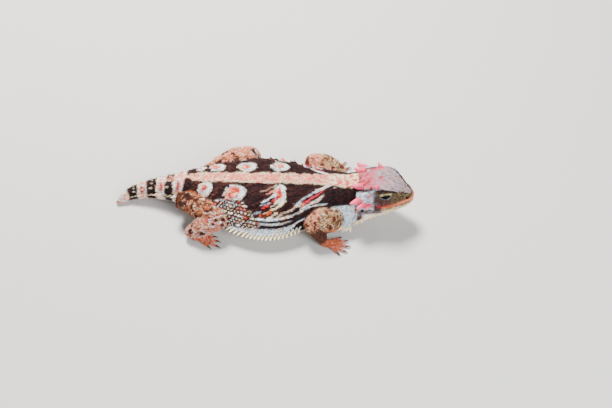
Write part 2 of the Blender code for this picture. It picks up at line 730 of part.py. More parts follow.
def head_and_jaw(home, cutters):
    """The skull with its lids, sockets, nostrils and ears, and the jaw parted from it."""
    whole = core("head", SKULL_BACK + HALF_GAP, SNOUT_TIP, HEAD_STEP, CORE_SIDES, home)
    swell = swollen(whole, GAP, cutters)
    added = collection("head additions")
    for side in (1, -1):
        radii = (LID_RADIUS, LID_RADIUS * LID_HEIGHT_SHARE, LID_RADIUS)
        ball("lid", eye_place(side), radii, added, facing_out(side))
    lips(added)
    brows(added)
    combine(whole, added, "UNION")
    holes = collection("head hollows")
    for side in (1, -1):
        turn = facing_out(side)
        out = turn @ Vector((0, 0, 1))
        socket = EYE_RADIUS + GAP
        ball("socket", eye_place(side), (socket,) * 3, holes)
        ball("slit", eye_place(side) + out * EYE_RADIUS, LID_OPENING, holes, turn)
        x, y, z = NOSTRIL
        ball("nostril", in_body(x, side * y, z), (NOSTRIL_RADIUS,) * 3, holes, segments=8, rings=6)
        ball("ear", hide_point(EAR_X, EAR_T, side), EAR_RADII, holes, segments=10, rings=6)
    combine(whole, holes, "DIFFERENCE")
    jaw = bpy.data.objects.new("jaw", whole.data.copy())
    home.objects.link(jaw)
    combine_with(whole, mouth_block("above the mouth", HALF_GAP, cutters), "DIFFERENCE")
    combine_with(jaw, mouth_block("below the mouth", -HALF_GAP, cutters), "INTERSECT")
    spines = collection("jaw spines")
    for x, length in JAW_SPINES:
        for side in (1, -1):
            surface_spine(spines, x, JAW_SPINE_T, side, length, JAW_SPINE_RADIUS, JAW_LEAN, JAW_SPINE_RISE)
    combine(jaw, spines, "UNION")
    return whole, jaw, swell


def eyes(home):
    made = []
    for side, word in ((1, "left"), (-1, "right")):
        made.append(ball(f"eye_{word}", eye_place(side), (EYE_RADIUS,) * 3, home, facing_out(side)))
    return made


def horns(home, skull):
    """Short horns round the back of the skull, each cut to sit on it."""
    made = []
    for side, word in ((1, "left"), (-1, "right")):
        for name, x, t, way, length, radius in HORNS:
            _, slope = midline(x)
            ahead = Vector((1, slope, 0)).normalized()
            across = Vector((-slope, 1, 0)).normalized()
            way = (ahead * way[0] + across * (side * way[1]) + Vector((0, 0, way[2]))).normalized()
            root = hide_point(x, t, side)
            start = root - way * HORN_SINK
            reach = length + HORN_SINK
            lift = Vector((0, 0, HORN_LIFT * reach))
            centres = [start + way * (reach * u) + lift * u * u for u in HORN_STATIONS]
            radii = [radius * share for share in HORN_TAPER]
            horn = loft(f"horn_{name}_{word}", tube_rings(centres, radii, HORN_SIDES), home)
            combine_with(horn, skull, "DIFFERENCE", keep_other=True)
            made.append(horn)
    return made


def bend_plane(before, joint, after):
    """The plane that parts two stretches of a leg at their joint, facing the second one."""
    return ((after - joint).normalized() - (before - joint).normalized()).normalized()


def foot_frame(limb):
    """The way a foot points along the floor, and where its sole lies."""
    _, _, heading = limb.foot
    ahead = Vector((math.cos(heading), math.sin(heading), 0))
    sole = Vector((limb.end.x, limb.end.y, 0)) + ahead * SOLE_AHEAD
    return ahead, sole


def above(point, height):
    return point + Vector((0, 0, height))


def foot(limb, home):
    lengths, fan, _ = limb.foot
    ahead, sole = foot_frame(limb)
    across = Vector((-ahead.y, ahead.x, 0)) * limb.side
    node = f"{'hand' if 'fore' in limb.name else 'foot'}_{limb.name.split('_')[1]}"
    points = [above(sole + ahead * reach, height)
              for reach, height in zip((-HEEL_BACK, 0.0, PALM_AHEAD), PALM_HEIGHTS)]
    radii = blended(PALM_RADII, PALM_POINTS)
    rings = tube_rings(tube_path(points, PALM_POINTS), radii, LIMB_SIDES, PALM_FLATNESS)
    made = loft(node, on_floor(rings), home)
    group = collection("toes")
    ball("ankle", limb.end, (limb.thickness[-1],) * 3, group, segments=LIMB_SIDES, rings=6)
    for k, length in enumerate(lengths):
        turn = (k / (len(lengths) - 1) - 0.5) * fan
        way = ahead * math.cos(turn) + across * math.sin(turn)
        root = sole + way * TOE_START
        knuckle = root + way * (length * TOE_KNUCKLE)
        tip = above(root + way * length, TOE_HEIGHTS[2])
        path = [above(root, TOE_HEIGHTS[0]), above(knuckle, TOE_HEIGHTS[1]), tip]
        rings = tube_rings(tube_path(path, TOE_POINTS), blended(TOE_RADII, TOE_POINTS), TOE_SIDES)
        loft("toe", on_floor(rings), group)
        claw_tip = above(tip + way * CLAW_LENGTH, -CLAW_DROP)
        cone("claw", tip - way * CLAW_ROOT_BACK, claw_tip, CLAW_RADIUS, group)
    combine(made, group, "UNION")
    return made


def limb_spines(obj, start, end, radii, side, kind):
    """Rows of keeled spines round the outer side of a stretch of leg."""
    places, height, radius = LIMB_SPINES[kind]
    along = (end - start).normalized()
    outwards = Vector((0, side, OUTER_RISE))
    outer = (outwards - along * along.dot(outwards)).normalized()
    upper = along.cross(outer).normalized()
    upper = upper if upper.z > 0 else -upper
    group = collection("leg spines")
    for row, lean in enumerate(LIMB_SPINE_ROWS):
        way = (outer * math.cos(lean) + upper * math.sin(lean)).normalized()
        for u in places:
            u = u - LIMB_ROW_SHIFT * (row % 2)
            thick = float(np.interp(u, (0, 1), radii))
            root = start.lerp(end, u) + way * thick
            point = (way + along * LIMB_LEAN).normalized()
            cone("spine", root - point * (radius * SPINE_SINK), root + point * height, radius, group)
    combine(obj, group, "UNION")


def leg(limb, home, trunk):
    """One leg in three nodes, each trimmed to its neighbour and to the trunk's surface."""
    kind, word = limb.name.split("leg_")
    thick = limb.thickness
    inner = limb.root + (limb.root - limb.joint) * INNER_REACH
    inner = Vector((inner.x, limb.side * INNER_ROOT_Y, limb.root.z))
    bulge = above((limb.root + limb.joint) / 2, UPPER_BULGE)
    path = tube_path([inner, limb.root, bulge, limb.joint], UPPER_POINTS)
    radii = blended((thick[0] * INNER_SHARE, *thick[:3]), UPPER_POINTS)
    upper = loft(f"{UPPER_NAMES[kind]}_{word}", round_ended(path, radii, LIMB_SIDES), home)
    calf = limb.joint.lerp(limb.end, CALF_PLACE) + Vector((0, CALF_OUT * limb.side, CALF_RISE))
    path = tube_path([limb.end, calf, limb.joint], LOWER_POINTS)
    radii = blended(thick[:1:-1], LOWER_POINTS)
    lower = loft(f"{LOWER_NAMES[kind]}_{word}", round_ended(path, radii, LIMB_SIDES), home)
    end = foot(limb, home)
    knee = bend_plane(limb.root, limb.joint, limb.end)
    _, sole = foot_frame(limb)
    ankle = bend_plane(limb.joint, limb.end, above(sole, PALM_HEIGHTS[2]))
    limb_spines(upper, limb.root, limb.joint, (thick[0], thick[2]), limb.side, "upper")
    limb_spines(lower, limb.joint, limb.end, (thick[2], thick[4]), limb.side, "lower")
    trimmed(upper, limb.joint - knee * HALF_GAP, knee)
    trimmed(lower, limb.joint + knee * HALF_GAP, -knee)
    trimmed(lower, limb.end - ankle * HALF_GAP, ankle)
    trimmed(end, limb.end + ankle * HALF_GAP, -ankle)
    for piece in (upper, lower, end):
        keep_largest(piece)
        for part in trunk:
            combine_with(piece, part, "DIFFERENCE", keep_other=True)
    return [upper, lower, end]


def stand_on_origin(pieces):
    """Moves all pieces so that the middle of their box's floor is the origin."""
    low, high = Vector((1e9,) * 3), Vector((-1e9,) * 3)
    for piece in pieces:
        for vert in piece.data.vertices:
            low = Vector(map(min, low, vert.co))
            high = Vector(map(max, high, vert.co))
    shift = Vector((-(low.x + high.x) / 2, -(low.y + high.y) / 2, -low.z))
    for piece in pieces:
        piece.data.transform(Matrix.Translation(shift))


def dress(pieces):
    """Gives each piece its own finish, by the part of the animal that it is."""
    looks = {
        "torso": (HIDE_DARK, 0.75), "tail": (HIDE_DARK, 0.75), "neck": (HIDE_DARK, 0.75),
        "head": (HIDE_GREY, 0.65), "jaw": (JAW_OLIVE, 0.65), "eye": (EYE_BLACK, 0.08),
        "horn": (HORN_PINK, 0.50),
    }
    for piece in pieces:
        colour, roughness = looks.get(piece.name.split("_")[0], (HIDE_PINK, 0.70))
        piece.data.materials.clear()
        piece.data.materials.append(finish(piece.name + "_finish", colour, roughness))
        piece.data.shade_smooth()
        piece.data.set_sharp_from_angle(angle=SHARP_FROM)


def main():
    clear_scene()
    home = collection("horned lizard")
    cutters = collection("cutters")
    trunk = [torso(home), tail(home), neck(home)]
    swells = [swollen(part, GAP, cutters) for part in trunk]
    head, jaw, skull = head_and_jaw(home, cutters)
    pieces = trunk + [head, jaw] + eyes(home) + horns(home, skull)
    for limb in LIMBS:
        pieces += leg(limb, home, swells + [skull])
    add_torso_spines(trunk[0])
    add_tail_spines(trunk[1])
    add_neck_spines(trunk[2])
    stand_on_origin(pieces)
    dress(pieces)


main()
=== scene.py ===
import json
import math

import bmesh
import bpy
import numpy as np
from mathutils import Matrix, Vector
from mathutils.bvhtree import BVHTree
from mathutils.kdtree import KDTree

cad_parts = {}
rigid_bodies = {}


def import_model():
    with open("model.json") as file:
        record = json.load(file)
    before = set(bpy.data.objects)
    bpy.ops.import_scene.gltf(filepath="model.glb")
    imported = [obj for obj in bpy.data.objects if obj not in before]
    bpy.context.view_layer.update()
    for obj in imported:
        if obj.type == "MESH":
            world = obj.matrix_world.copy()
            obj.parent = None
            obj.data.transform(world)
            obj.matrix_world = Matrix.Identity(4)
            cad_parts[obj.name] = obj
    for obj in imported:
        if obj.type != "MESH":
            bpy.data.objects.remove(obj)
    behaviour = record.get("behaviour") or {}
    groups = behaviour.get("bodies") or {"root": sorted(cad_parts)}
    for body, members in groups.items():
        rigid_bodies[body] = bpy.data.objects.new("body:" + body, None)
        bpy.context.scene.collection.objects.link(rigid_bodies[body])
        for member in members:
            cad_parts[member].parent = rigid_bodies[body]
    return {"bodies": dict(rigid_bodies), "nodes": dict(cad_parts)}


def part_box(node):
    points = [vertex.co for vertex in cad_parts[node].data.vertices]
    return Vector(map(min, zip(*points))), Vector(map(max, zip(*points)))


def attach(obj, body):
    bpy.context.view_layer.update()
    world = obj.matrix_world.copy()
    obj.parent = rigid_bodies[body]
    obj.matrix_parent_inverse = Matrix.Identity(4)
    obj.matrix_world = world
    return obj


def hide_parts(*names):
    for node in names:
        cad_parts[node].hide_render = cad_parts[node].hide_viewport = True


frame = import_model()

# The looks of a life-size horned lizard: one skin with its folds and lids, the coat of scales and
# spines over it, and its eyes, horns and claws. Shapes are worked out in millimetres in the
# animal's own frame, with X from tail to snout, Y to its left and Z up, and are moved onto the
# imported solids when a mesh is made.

# Blender starts with a few things of its own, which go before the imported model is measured.
packed = set(frame["bodies"].values()) | set(frame["nodes"].values())
for stray in [o for o in bpy.data.objects if o not in packed]:
    bpy.data.objects.remove(stray, do_unlink=True)
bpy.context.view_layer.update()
MM = 0.001

# Along the body, from the tail's tip to the snout.
TAIL_TIP = -61.0
TAIL_BASE = -31.5
NECK_BASE = 26.5
SKULL_BACK = 34.5
SNOUT_TIP = 57.3
COAT_DEPTH = 0.2

# The midline, as x and y.
MIDLINE = np.array(
    [
        (-61.0, 2.2), (-54.0, 6.2), (-46.0, 6.8), (-37.0, 6.0), (-28.0, 4.3), (-18.0, 2.3),
        (-6.0, 0.8), (10.0, 0.0), (26.0, -0.3), (34.0, -0.9), (42.0, -2.2), (50.0, -3.7), (58.0, -5.3),
    ]
)

# One row a station: x, top, ridge y and z, edge y and z, low y and z, bottom.
BODY = np.array(
    [
        (-61.0, 2.2, 0.4, 1.9, 0.6, 1.2, 0.4, 0.4, 0.2),
        (-59.0, 3.6, 0.9, 3.1, 1.5, 1.9, 1.0, 0.2, -0.2),
        (-55.0, 5.6, 1.5, 4.9, 2.4, 2.9, 1.6, 0.4, 0.1),
        (-50.0, 7.6, 2.0, 6.7, 3.3, 4.0, 2.3, 1.1, 0.6),
        (-44.0, 9.4, 2.6, 8.4, 4.3, 5.2, 3.1, 1.9, 1.3),
        (-38.0, 11.3, 3.3, 10.2, 5.6, 6.3, 4.1, 2.4, 1.8),
        (-33.0, 13.3, 4.2, 12.3, 7.1, 6.9, 5.2, 2.5, 1.8),
        (-28.0, 15.0, 5.6, 14.0, 9.4, 6.6, 7.0, 1.6, 0.9),
        (-22.0, 16.5, 7.4, 15.2, 12.2, 6.2, 9.2, 0.8, 0.1),
        (-16.0, 17.4, 9.2, 15.7, 15.0, 5.8, 11.2, 0.5, -0.3),
        (-10.0, 18.0, 10.8, 15.9, 17.6, 5.5, 12.8, 0.4, -0.5),
        (-4.0, 18.3, 11.8, 15.9, 19.2, 5.3, 13.8, 0.4, -0.5),
        (2.0, 18.4, 12.0, 15.9, 19.6, 5.3, 14.0, 0.4, -0.5),
        (8.0, 18.2, 11.2, 15.8, 18.3, 5.5, 13.2, 0.5, -0.5),
        (13.0, 17.9, 9.9, 15.6, 16.0, 6.0, 11.6, 0.9, 0.0),
        (18.0, 17.6, 8.7, 15.4, 14.0, 6.7, 10.4, 1.7, 0.9),
        (22.0, 17.3, 7.8, 15.3, 12.8, 7.1, 9.8, 2.5, 1.7),
        (26.0, 17.2, 7.0, 15.3, 12.4, 6.8, 9.4, 3.1, 2.4),
        (30.0, 17.3, 6.2, 15.4, 13.2, 5.6, 9.2, 3.3, 2.8),
        (33.0, 17.8, 5.8, 16.1, 13.4, 5.4, 9.6, 3.7, 3.3),
        (34.5, 18.4, 5.8, 16.7, 12.6, 6.2, 9.8, 4.3, 3.9),
        (36.0, 19.3, 8.2, 17.0, 11.2, 8.6, 10.4, 5.2, 5.0),
        (38.3, 20.1, 8.6, 17.5, 10.2, 11.2, 9.9, 6.0, 5.7),
        (40.8, 20.7, 7.3, 19.2, 9.3, 12.2, 8.6, 7.0, 6.2),
        (43.3, 21.0, 6.2, 20.8, 8.2, 12.8, 7.8, 7.6, 6.7),
        (46.8, 20.9, 6.2, 20.5, 6.8, 13.4, 6.9, 8.4, 7.2),
        (49.8, 19.8, 5.5, 19.3, 6.1, 13.4, 5.9, 8.9, 7.9),
        (52.6, 18.1, 4.1, 17.6, 5.0, 13.3, 4.7, 9.6, 8.8),
        (55.0, 16.5, 3.0, 16.0, 3.8, 13.2, 3.5, 10.5, 9.9),
        (56.6, 15.3, 2.1, 14.9, 2.7, 13.1, 2.4, 11.4, 11.0),
        (57.3, 14.2, 1.2, 14.0, 1.5, 13.1, 1.3, 12.3, 12.1),
    ]
)
EDGE_T = 0.5

# The mouth's line, as x and z, and where its corner and its lips lie.
MOUTH = np.array(
    [(32.0, 13.2), (37.5, 12.4), (42.0, 11.2), (45.5, 10.9), (50.0, 11.6), (54.0, 12.5), (60.0, 13.8)]
)
MOUTH_CORNER_X = 43.5

EYE_X, EYE_OUT, EYE_Z = 46.8, 5.0, 18.0
EYE_RADIUS = 2.1
LID_RADIUS = 2.85
LID_OPENING = (1.6, 0.85)
LID_TURN = math.radians(-12.0)
LID_SHELL, LID_NEAR = 0.32, 3.6
EYE_AHEAD, EYE_UP = 0.22, 0.10
NOSTRIL = (55.0, 3.3, 15.1)
NOSTRIL_RADIUS = 0.46
ROSTRAL_X = 56.0
NOSTRIL_DEPTH = 1.2
EAR_X, EAR_T = 38.9, 0.52
EAR_SHAPE = np.array((0.8, 2.0, 1.3))
# The brow's ridge, as x and t on the skull, with its half-thickness.
BROW = ((43.6, 0.225, 0.35), (45.0, 0.23, 0.55), (46.4, 0.235, 0.8), (48.2, 0.24, 0.85),
        (50.6, 0.245, 0.65), (53.2, 0.25, 0.35))


class Limb:
    """One leg: its joints, its thickness, and its toes' lengths, fan and heading."""

    def __init__(self, name, side, root, joint, end, thickness, toes, fan, heading):
        self.name, self.side = name, side
        self.kind, self.word = name.split("leg_")
        self.root, self.joint, self.end = (np.array(p) for p in (root, joint, end))
        self.thickness, self.toes = thickness, toes
        self.fan, self.heading = math.radians(fan), math.radians(heading)


FORE_THICKNESS = (4.6, 4.8, 3.9, 3.2, 2.0)
HIND_THICKNESS = (4.8, 5.1, 4.5, 4.3, 2.5)
NEAR_HIND_THICKNESS = (4.5, 4.7, 4.4, 4.4, 2.6)
FORE_TOES = (4.6, 6.0, 6.6, 6.2, 4.8)
HIND_TOES = (4.2, 6.0, 7.6, 8.6, 6.0)
FORE_FAN, HIND_FAN = 100.0, 70.0
LIMBS = (
    Limb("foreleg_right", -1, (25.2, -12.6, 7.8), (18.6, -15.8, 8.4), (22.0, -18.8, 2.9),
         FORE_THICKNESS, FORE_TOES, 84.0, -8.0),
    Limb("foreleg_left", 1, (26.8, 11.4, 9.4), (18.8, 16.8, 9.2), (23.6, 20.4, 2.9),
         FORE_THICKNESS, FORE_TOES, FORE_FAN, 10.0),
    Limb("hindleg_right", -1, (-30.0, -5.0, 9.5), (-19.4, -12.8, 8.2), (-29.4, -15.0, 3.4),
         NEAR_HIND_THICKNESS, HIND_TOES, 60.0, -14.0),
    Limb("hindleg_left", 1, (-24.0, 9.0, 9.0), (-7.6, 20.8, 8.4), (-21.0, 22.6, 3.6),
         HIND_THICKNESS, HIND_TOES, HIND_FAN, 22.0),
)
INNER_ROOT_Y, INNER_REACH = 4.0, 0.5
SOLE_AHEAD, HEEL_BACK, PALM_AHEAD = 2.0, 3.0, 1.6
PALM_HEIGHTS, PALM_RADII, PALM_FLATNESS = (1.1, 1.15, 1.0), (1.1, 2.1, 1.5), 0.8
TOE_RADII = (0.85, 0.72, 0.5)
CLAW_LENGTH, CLAW_RADIUS, CLAW_SINK = 1.9, 0.42, 0.4
CLAW_ARCH, CLAW_HOOK = 0.35, 0.40
CLAW_RINGS, CLAW_SIDES = 10, 10
CLAW_TAPER = ((0, 0.5, 0.85, 1), (1.0, 0.75, 0.35, 0.06))

# Horns: x and t of the root on the skull, the way it points, its length and its root's radius.
HORNS = (
    ("occipital", 36.4, 0.12, (-0.97, 0.10, 0.02), 3.2, 1.5),
    ("temporal_upper", 36.4, 0.30, (-0.78, 0.60, -0.02), 3.3, 1.45),
    ("temporal_middle", 38.6, 0.38, (-0.62, 0.76, -0.08), 2.9, 1.3),
    ("temporal_lower", 41.0, 0.45, (-0.45, 0.87, -0.15), 2.3, 1.1),
    ("postorbital", 43.3, 0.22, (-0.60, 0.45, 0.62), 1.8, 1.05),
)
HORN_SINK = 1.6
HORN_RINGS, HORN_SIDES = 18, 18
HORN_TAPER = ((0, 0.3, 0.55, 0.78, 0.94, 1.0), (1.0, 0.92, 0.72, 0.46, 0.22, 0.05))
SIDES = ((1, "left"), (-1, "right"))
FLESH = ["torso", "tail", "neck", "head", "jaw"] + [
    f"{part}_{word}" for part in ("upper_arm", "forearm", "hand", "thigh", "shank", "foot")
    for _, word in SIDES
]


def slopes_of(table):
    """The slope at each station of a cubic that never overshoots the table."""
    rise = np.diff(table[:, 1:], axis=0) / np.diff(table[:, 0])[:, None]
    a, b = rise[:-1], rise[1:]
    inner = np.where(a * b > 0, 2 * a * b / np.where(a + b == 0, 1, a + b), 0.0)
    return np.vstack([rise[:1], inner, rise[-1:]])


def rows_at(table, x):
    """The table's rows at each x."""
    x = np.clip(np.atleast_1d(np.asarray(x, float)), table[0, 0], table[-1, 0])
    i = np.clip(np.searchsorted(table[:, 0], x, side="right") - 1, 0, len(table) - 2)
    h = (table[i + 1, 0] - table[i, 0])[:, None]
    u = (x - table[i, 0])[:, None] / h
    slope = slopes_of(table)
    return ((1 + 2 * u) * (1 - u) ** 2 * table[i, 1:] + u * (1 - u) ** 2 * h * slope[i]
            + u * u * (3 - 2 * u) * table[i + 1, 1:] + u * u * (u - 1) * h * slope[i + 1])


def midline(x):
    """The midline's sideways place and slope at each x."""
    step = 0.5
    slope = (rows_at(MIDLINE, x + step) - rows_at(MIDLINE, x - step))[:, 0] / (2 * step)
    return rows_at(MIDLINE, x)[:, 0], slope


def in_body(x, y, z):
    """Points y to the left of the midline, in the plane square to it at x."""
    x, y, z = (np.atleast_1d(np.asarray(v, float)) for v in (x, y, z))
    place, slope = midline(x)
    along = np.hypot(1, slope)
    return np.stack([x - y * slope / along, place + y / along, np.maximum(z, 0.0)], axis=1)


def section(x, t):
    """The cross-section's y and z at x, from the top at t = 0 by the side to the bottom at 1."""
    top, ridge_y, ridge_z, edge_y, edge_z, low_y, low_z, bottom = rows_at(BODY, x).T
    zero = np.zeros_like(top)
    keys = np.stack([
        np.stack([-ridge_y, ridge_z], 1), np.stack([zero, top], 1), np.stack([ridge_y, ridge_z], 1),
        np.stack([edge_y, edge_z], 1), np.stack([low_y, low_z], 1), np.stack([zero, bottom], 1),
        np.stack([-low_y, low_z], 1)], axis=1)
    t = np.broadcast_to(np.asarray(t, float), top.shape)
    whole = np.clip((t * 4).astype(int), 0, 3)
    u = (t * 4 - whole)[:, None]
    n = np.arange(len(top))
    p0, p1, p2, p3 = (keys[n, whole + k] for k in range(4))
    return 0.5 * (2 * p1 + (p2 - p0) * u + (2 * p0 - 5 * p1 + 4 * p2 - p3) * u**2
                  + (3 * p1 - p0 - 3 * p2 + p3) * u**3)


def hide_points(x, t, side):
    """Points of the hide at x and t on one side."""
    x = np.atleast_1d(np.asarray(x, float))
    yz = section(x, t)
    return in_body(x, side * yz[:, 0], yz[:, 1])


def unit(v):
    return v / np.maximum(np.linalg.norm(v, axis=-1, keepdims=True), 1e-9)


def hide_normals(x, t, side):
    step_x, step_t = 0.4, 0.02
    along = hide_points(x + step_x, t, side) - hide_points(x - step_x, t, side)
    around = (hide_points(x, np.clip(t + step_t, 0, 1), side)
              - hide_points(x, np.clip(t - step_t, 0, 1), side))
    side = np.broadcast_to(np.asarray(side, float), (len(along),))
    return unit(np.cross(along, around)) * side[:, None]


def nostril_gap(points, side):
    """How far each point is from the nostril's axis, which runs inwards from its opening."""
    x, y, z = NOSTRIL
    opening, end = in_body(x, side * y, z)[0], in_body(x - 0.5, side * (y - NOSTRIL_DEPTH), z)[0]
    axis = end - opening
    u = np.clip((points - opening) @ axis / (axis @ axis), 0, 1)[:, None]
    return np.linalg.norm(points - opening - u * axis, axis=1)


def ear_gap(points, side):
    """How far each point is from the ear's middle, in the ear's own lengths."""
    return np.linalg.norm((points - hide_points(EAR_X, EAR_T, side)[0]) / EAR_SHAPE, axis=1)


def above_mouth(places):
    """How far each place is above the mouth's line."""
    return places.z - rows_at(MOUTH, places.x)[:, 0]


def smooth_step(low, high, x):
    u = np.clip((x - low) / (high - low), 0, 1)
    return u * u * (3 - 2 * u)


def bell(x, centre, width):
    return np.exp(-(((x - centre) / width) ** 2))


def hashed(cell, seed):
    """A number from 0 to 1 for each whole-numbered cell."""
    mixed = (cell[..., 0] * 374761393 + cell[..., 1] * 668265263 + cell[..., 2] * 2147483647
             + seed * 1274126177)
    mixed = (mixed ^ (mixed >> 13)) * 1274126177
    return ((mixed ^ (mixed >> 16)) & 0xFFFFFF) / float(0xFFFFFF)


def cloud(points, size, seed):
    """Smooth noise from 0 to 1 whose swells are about size across."""
    place = points / size
    cell = np.floor(place).astype(np.int64)
    u = place - cell
    u = u * u * (3 - 2 * u)
    total = np.zeros(len(points))
    for corner in np.ndindex(2, 2, 2):
        share = np.prod(np.where(np.array(corner) == 1, u, 1 - u), axis=1)
        total += share * hashed(cell + np.array(corner), seed)
    return total


def clouds(points, size, seed, octaves=3):
    parts = [cloud(points, size / 2**k, seed + k) / 2**k for k in range(octaves)]
    return sum(parts) / sum(1 / 2**k for k in range(octaves))


def loft(rings):
    """Points and faces of a closed skin over rings of as many points each."""
    points = np.concatenate(rings)
    count, sides = len(rings), len(rings[0])
    faces = []
    for k in range(count - 1):
        low, high = k * sides, (k + 1) * sides
        faces += [(low + s, low + (s + 1) % sides, high + (s + 1) % sides, high + s) for s in range(sides)]
    faces.append(tuple(range(sides))[::-1])
    faces.append(tuple(range((count - 1) * sides, count * sides)))
    return points, faces


def curve_through(points, count):
    """Points evenly along a smooth curve through the given ones."""
    points = [np.asarray(p, float) for p in points]
    ends = np.array([points[0] * 2 - points[1], *points, points[-1] * 2 - points[-2]])
    s = np.linspace(0, len(points) - 1, count)
    i = np.minimum(s.astype(int), len(points) - 2)
    u = (s - i)[:, None]
    p0, p1, p2, p3 = (ends[i + k] for k in range(4))
    return 0.5 * (2 * p1 + (p2 - p0) * u + (2 * p0 - 5 * p1 + 4 * p2 - p3) * u * u
                  + (3 * p1 - p0 - 3 * p2 + p3) * u**3)


def blended(values, count):
    return np.interp(np.linspace(0, len(values) - 1, count), range(len(values)), values)


def tube(centres, radii, sides, flat=1.0):
    """Round rings square to a path, flat times as tall as they are wide."""
    rings = []
    for k, centre in enumerate(centres):
        ahead = unit(centres[min(k + 1, len(centres) - 1)] - centres[max(k - 1, 0)])
        across = np.cross(ahead, (0, 0, 1))
        across = unit(across) if np.linalg.norm(across) > 0.05 else np.array((0.0, 1.0, 0.0))
        up = unit(np.cross(across, ahead))
        turn = np.arange(sides)[:, None] * (2 * math.pi / sides)
        ring = centre + across * (radii[k] * np.cos(turn)) + up * (radii[k] * flat * np.sin(turn))
        ring[:, 2] = np.maximum(ring[:, 2], 0.0)
        rings.append(ring)
    return loft(rings)


def domed(centres, radii):
    """The path and radii with a dome added at the far end."""
    ahead = unit(centres[-1] - centres[-2])
    angles = np.radians((20, 40, 58, 72, 82))
    centres = np.vstack([centres, centres[-1] + ahead * (radii[-1] * np.sin(angles))[:, None]])
    return centres, np.concatenate([radii, radii[-1] * np.cos(angles)])


def body_ways(x):
    """The ways ahead and to the left at one x of the midline."""
    slope = midline(np.array([x]))[1][0]
    return unit(np.array([1, slope, 0])), unit(np.array([-slope, 1, 0]))


def facing_out(side):
    """Axes at the eye, as columns: along the slit, up across it, and out of the cheek."""
    ahead, left = body_ways(EYE_X)
    out = unit(left * side + ahead * EYE_AHEAD + np.array([0, 0, EYE_UP]))
    flat = Vector(unit(ahead - out * ahead.dot(out)))
    along = np.array(Matrix.Rotation(side * LID_TURN, 3, Vector(out)) @ flat)
    return np.stack([along, np.cross(out, along), out], axis=1)


def eye_centre(side):
    return in_body(EYE_X, side * EYE_OUT, EYE_Z)[0]


def eye_places(points, side):
    """Each point along the slit, up across it and out of the cheek, and its reach in lid openings."""
    u, v, w = ((points - eye_centre(side)) @ facing_out(side)).T
    return u, v, w, np.hypot(u / LID_OPENING[0], v / LID_OPENING[1])


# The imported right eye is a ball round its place, so it says how far the solids were moved.
eye_low, eye_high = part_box("eye_right")
SHIFT = np.array((eye_low + eye_high) / 2) - eye_centre(-1) * MM


def to_scene(points):
    return np.asarray(points) * MM + SHIFT


def mesh_from(name, points, faces):
    mesh = bpy.data.meshes.new(name)
    mesh.from_pydata(to_scene(points).tolist(), [], [tuple(f) for f in faces])
    mesh.update()
    return mesh


def placed(name, data):
    """A new object of the scene that holds the data."""
    obj = bpy.data.objects.new(name, data)
    bpy.context.scene.collection.objects.link(obj)
    return obj


def piece_from(name, points, faces, material):
    mesh = mesh_from(name, points, faces)
    mesh.materials.append(material)
    mesh.shade_smooth()
    return placed(name, mesh)


def joined(parts):
    """Several lists of points and faces as one."""
    points, faces, start = [], [], 0
    for part_points, part_faces in parts:
        points.append(part_points)
        faces += [tuple(i + start for i in face) for face in part_faces]
        start += len(part_points)
    return np.concatenate(points), faces


def read_vectors(items, key, count):
    values = np.empty(len(items) * count, np.float32)
    items.foreach_get(key, values)
    return values.reshape(-1, count).astype(float) if count > 1 else values.astype(float)


def store(mesh, name, kind, values):
    """Writes one value a vertex to a named attribute."""
    attribute = mesh.attributes.new(name, kind, "POINT")
    key = {"FLOAT": "value", "FLOAT_VECTOR": "vector", "FLOAT2": "vector", "FLOAT_COLOR": "color"}[kind]
    attribute.data.foreach_set(key, np.ascontiguousarray(values, np.float32).ravel())


# The trunk, the legs and the feet, as rough closed forms that the remesh fuses.

TRUNK_SIDES = 96
TRUNK_STEP = 0.7
# Steps along and sides around the rough forms of each leg, foot and brow.
UPPER_STEPS, LOWER_STEPS, PALM_STEPS, TOE_STEPS, BROW_STEPS = 18, 14, 12, 12, 20
LEG_SIDES, PALM_SIDES, TOE_SIDES, BROW_SIDES = 28, 24, 12, 12


def trunk_stations():
    count = round((SNOUT_TIP - TAIL_TIP) / TRUNK_STEP) + 1
    return np.linspace(TAIL_TIP, SNOUT_TIP, count)


def trunk():
    half = TRUNK_SIDES // 2
    rings = []
    for x in trunk_stations():
        t = np.arange(half + 1) / half
        left = hide_points(np.full(half + 1, x), t, 1)
        right = hide_points(np.full(half + 1, x), t, -1)[1:half]
        rings.append(np.concatenate([left, right[::-1]]))
    return loft(rings)


def upper_path(limb):
    inner = limb.root + (limb.root - limb.joint) * INNER_REACH
    inner[1:] = limb.side * INNER_ROOT_Y, limb.root[2]
    bulge = (limb.root + limb.joint) / 2 + np.array((0, 0, 1.0))
    thick = limb.thickness
    centres = curve_through([inner, limb.root, bulge, limb.joint], UPPER_STEPS)
    return centres, blended((thick[0] * 0.7, *thick[:3]), UPPER_STEPS)


def lower_path(limb):
    calf = limb.joint * 0.55 + limb.end * 0.45 + np.array((0, 0.5 * limb.side, 0.6))
    centres = curve_through([limb.joint, calf, limb.end], LOWER_STEPS)
    return centres, blended(limb.thickness[2:], LOWER_STEPS)


def heading(limb):
    """The way a foot points along the floor, the way across it, and where its sole lies."""
    ahead = np.array((math.cos(limb.heading), math.sin(limb.heading), 0.0))
    across = np.array((-ahead[1], ahead[0], 0.0)) * limb.side
    sole = np.array((limb.end[0], limb.end[1], 0.0)) + ahead * SOLE_AHEAD
    return ahead, across, sole


def palm_path(limb):
    ahead, _, sole = heading(limb)
    reaches = (-HEEL_BACK, 0.0, PALM_AHEAD)
    points = [sole + ahead * reach + (0, 0, height) for reach, height in zip(reaches, PALM_HEIGHTS)]
    return curve_through(points, PALM_STEPS), blended(PALM_RADII, PALM_STEPS)


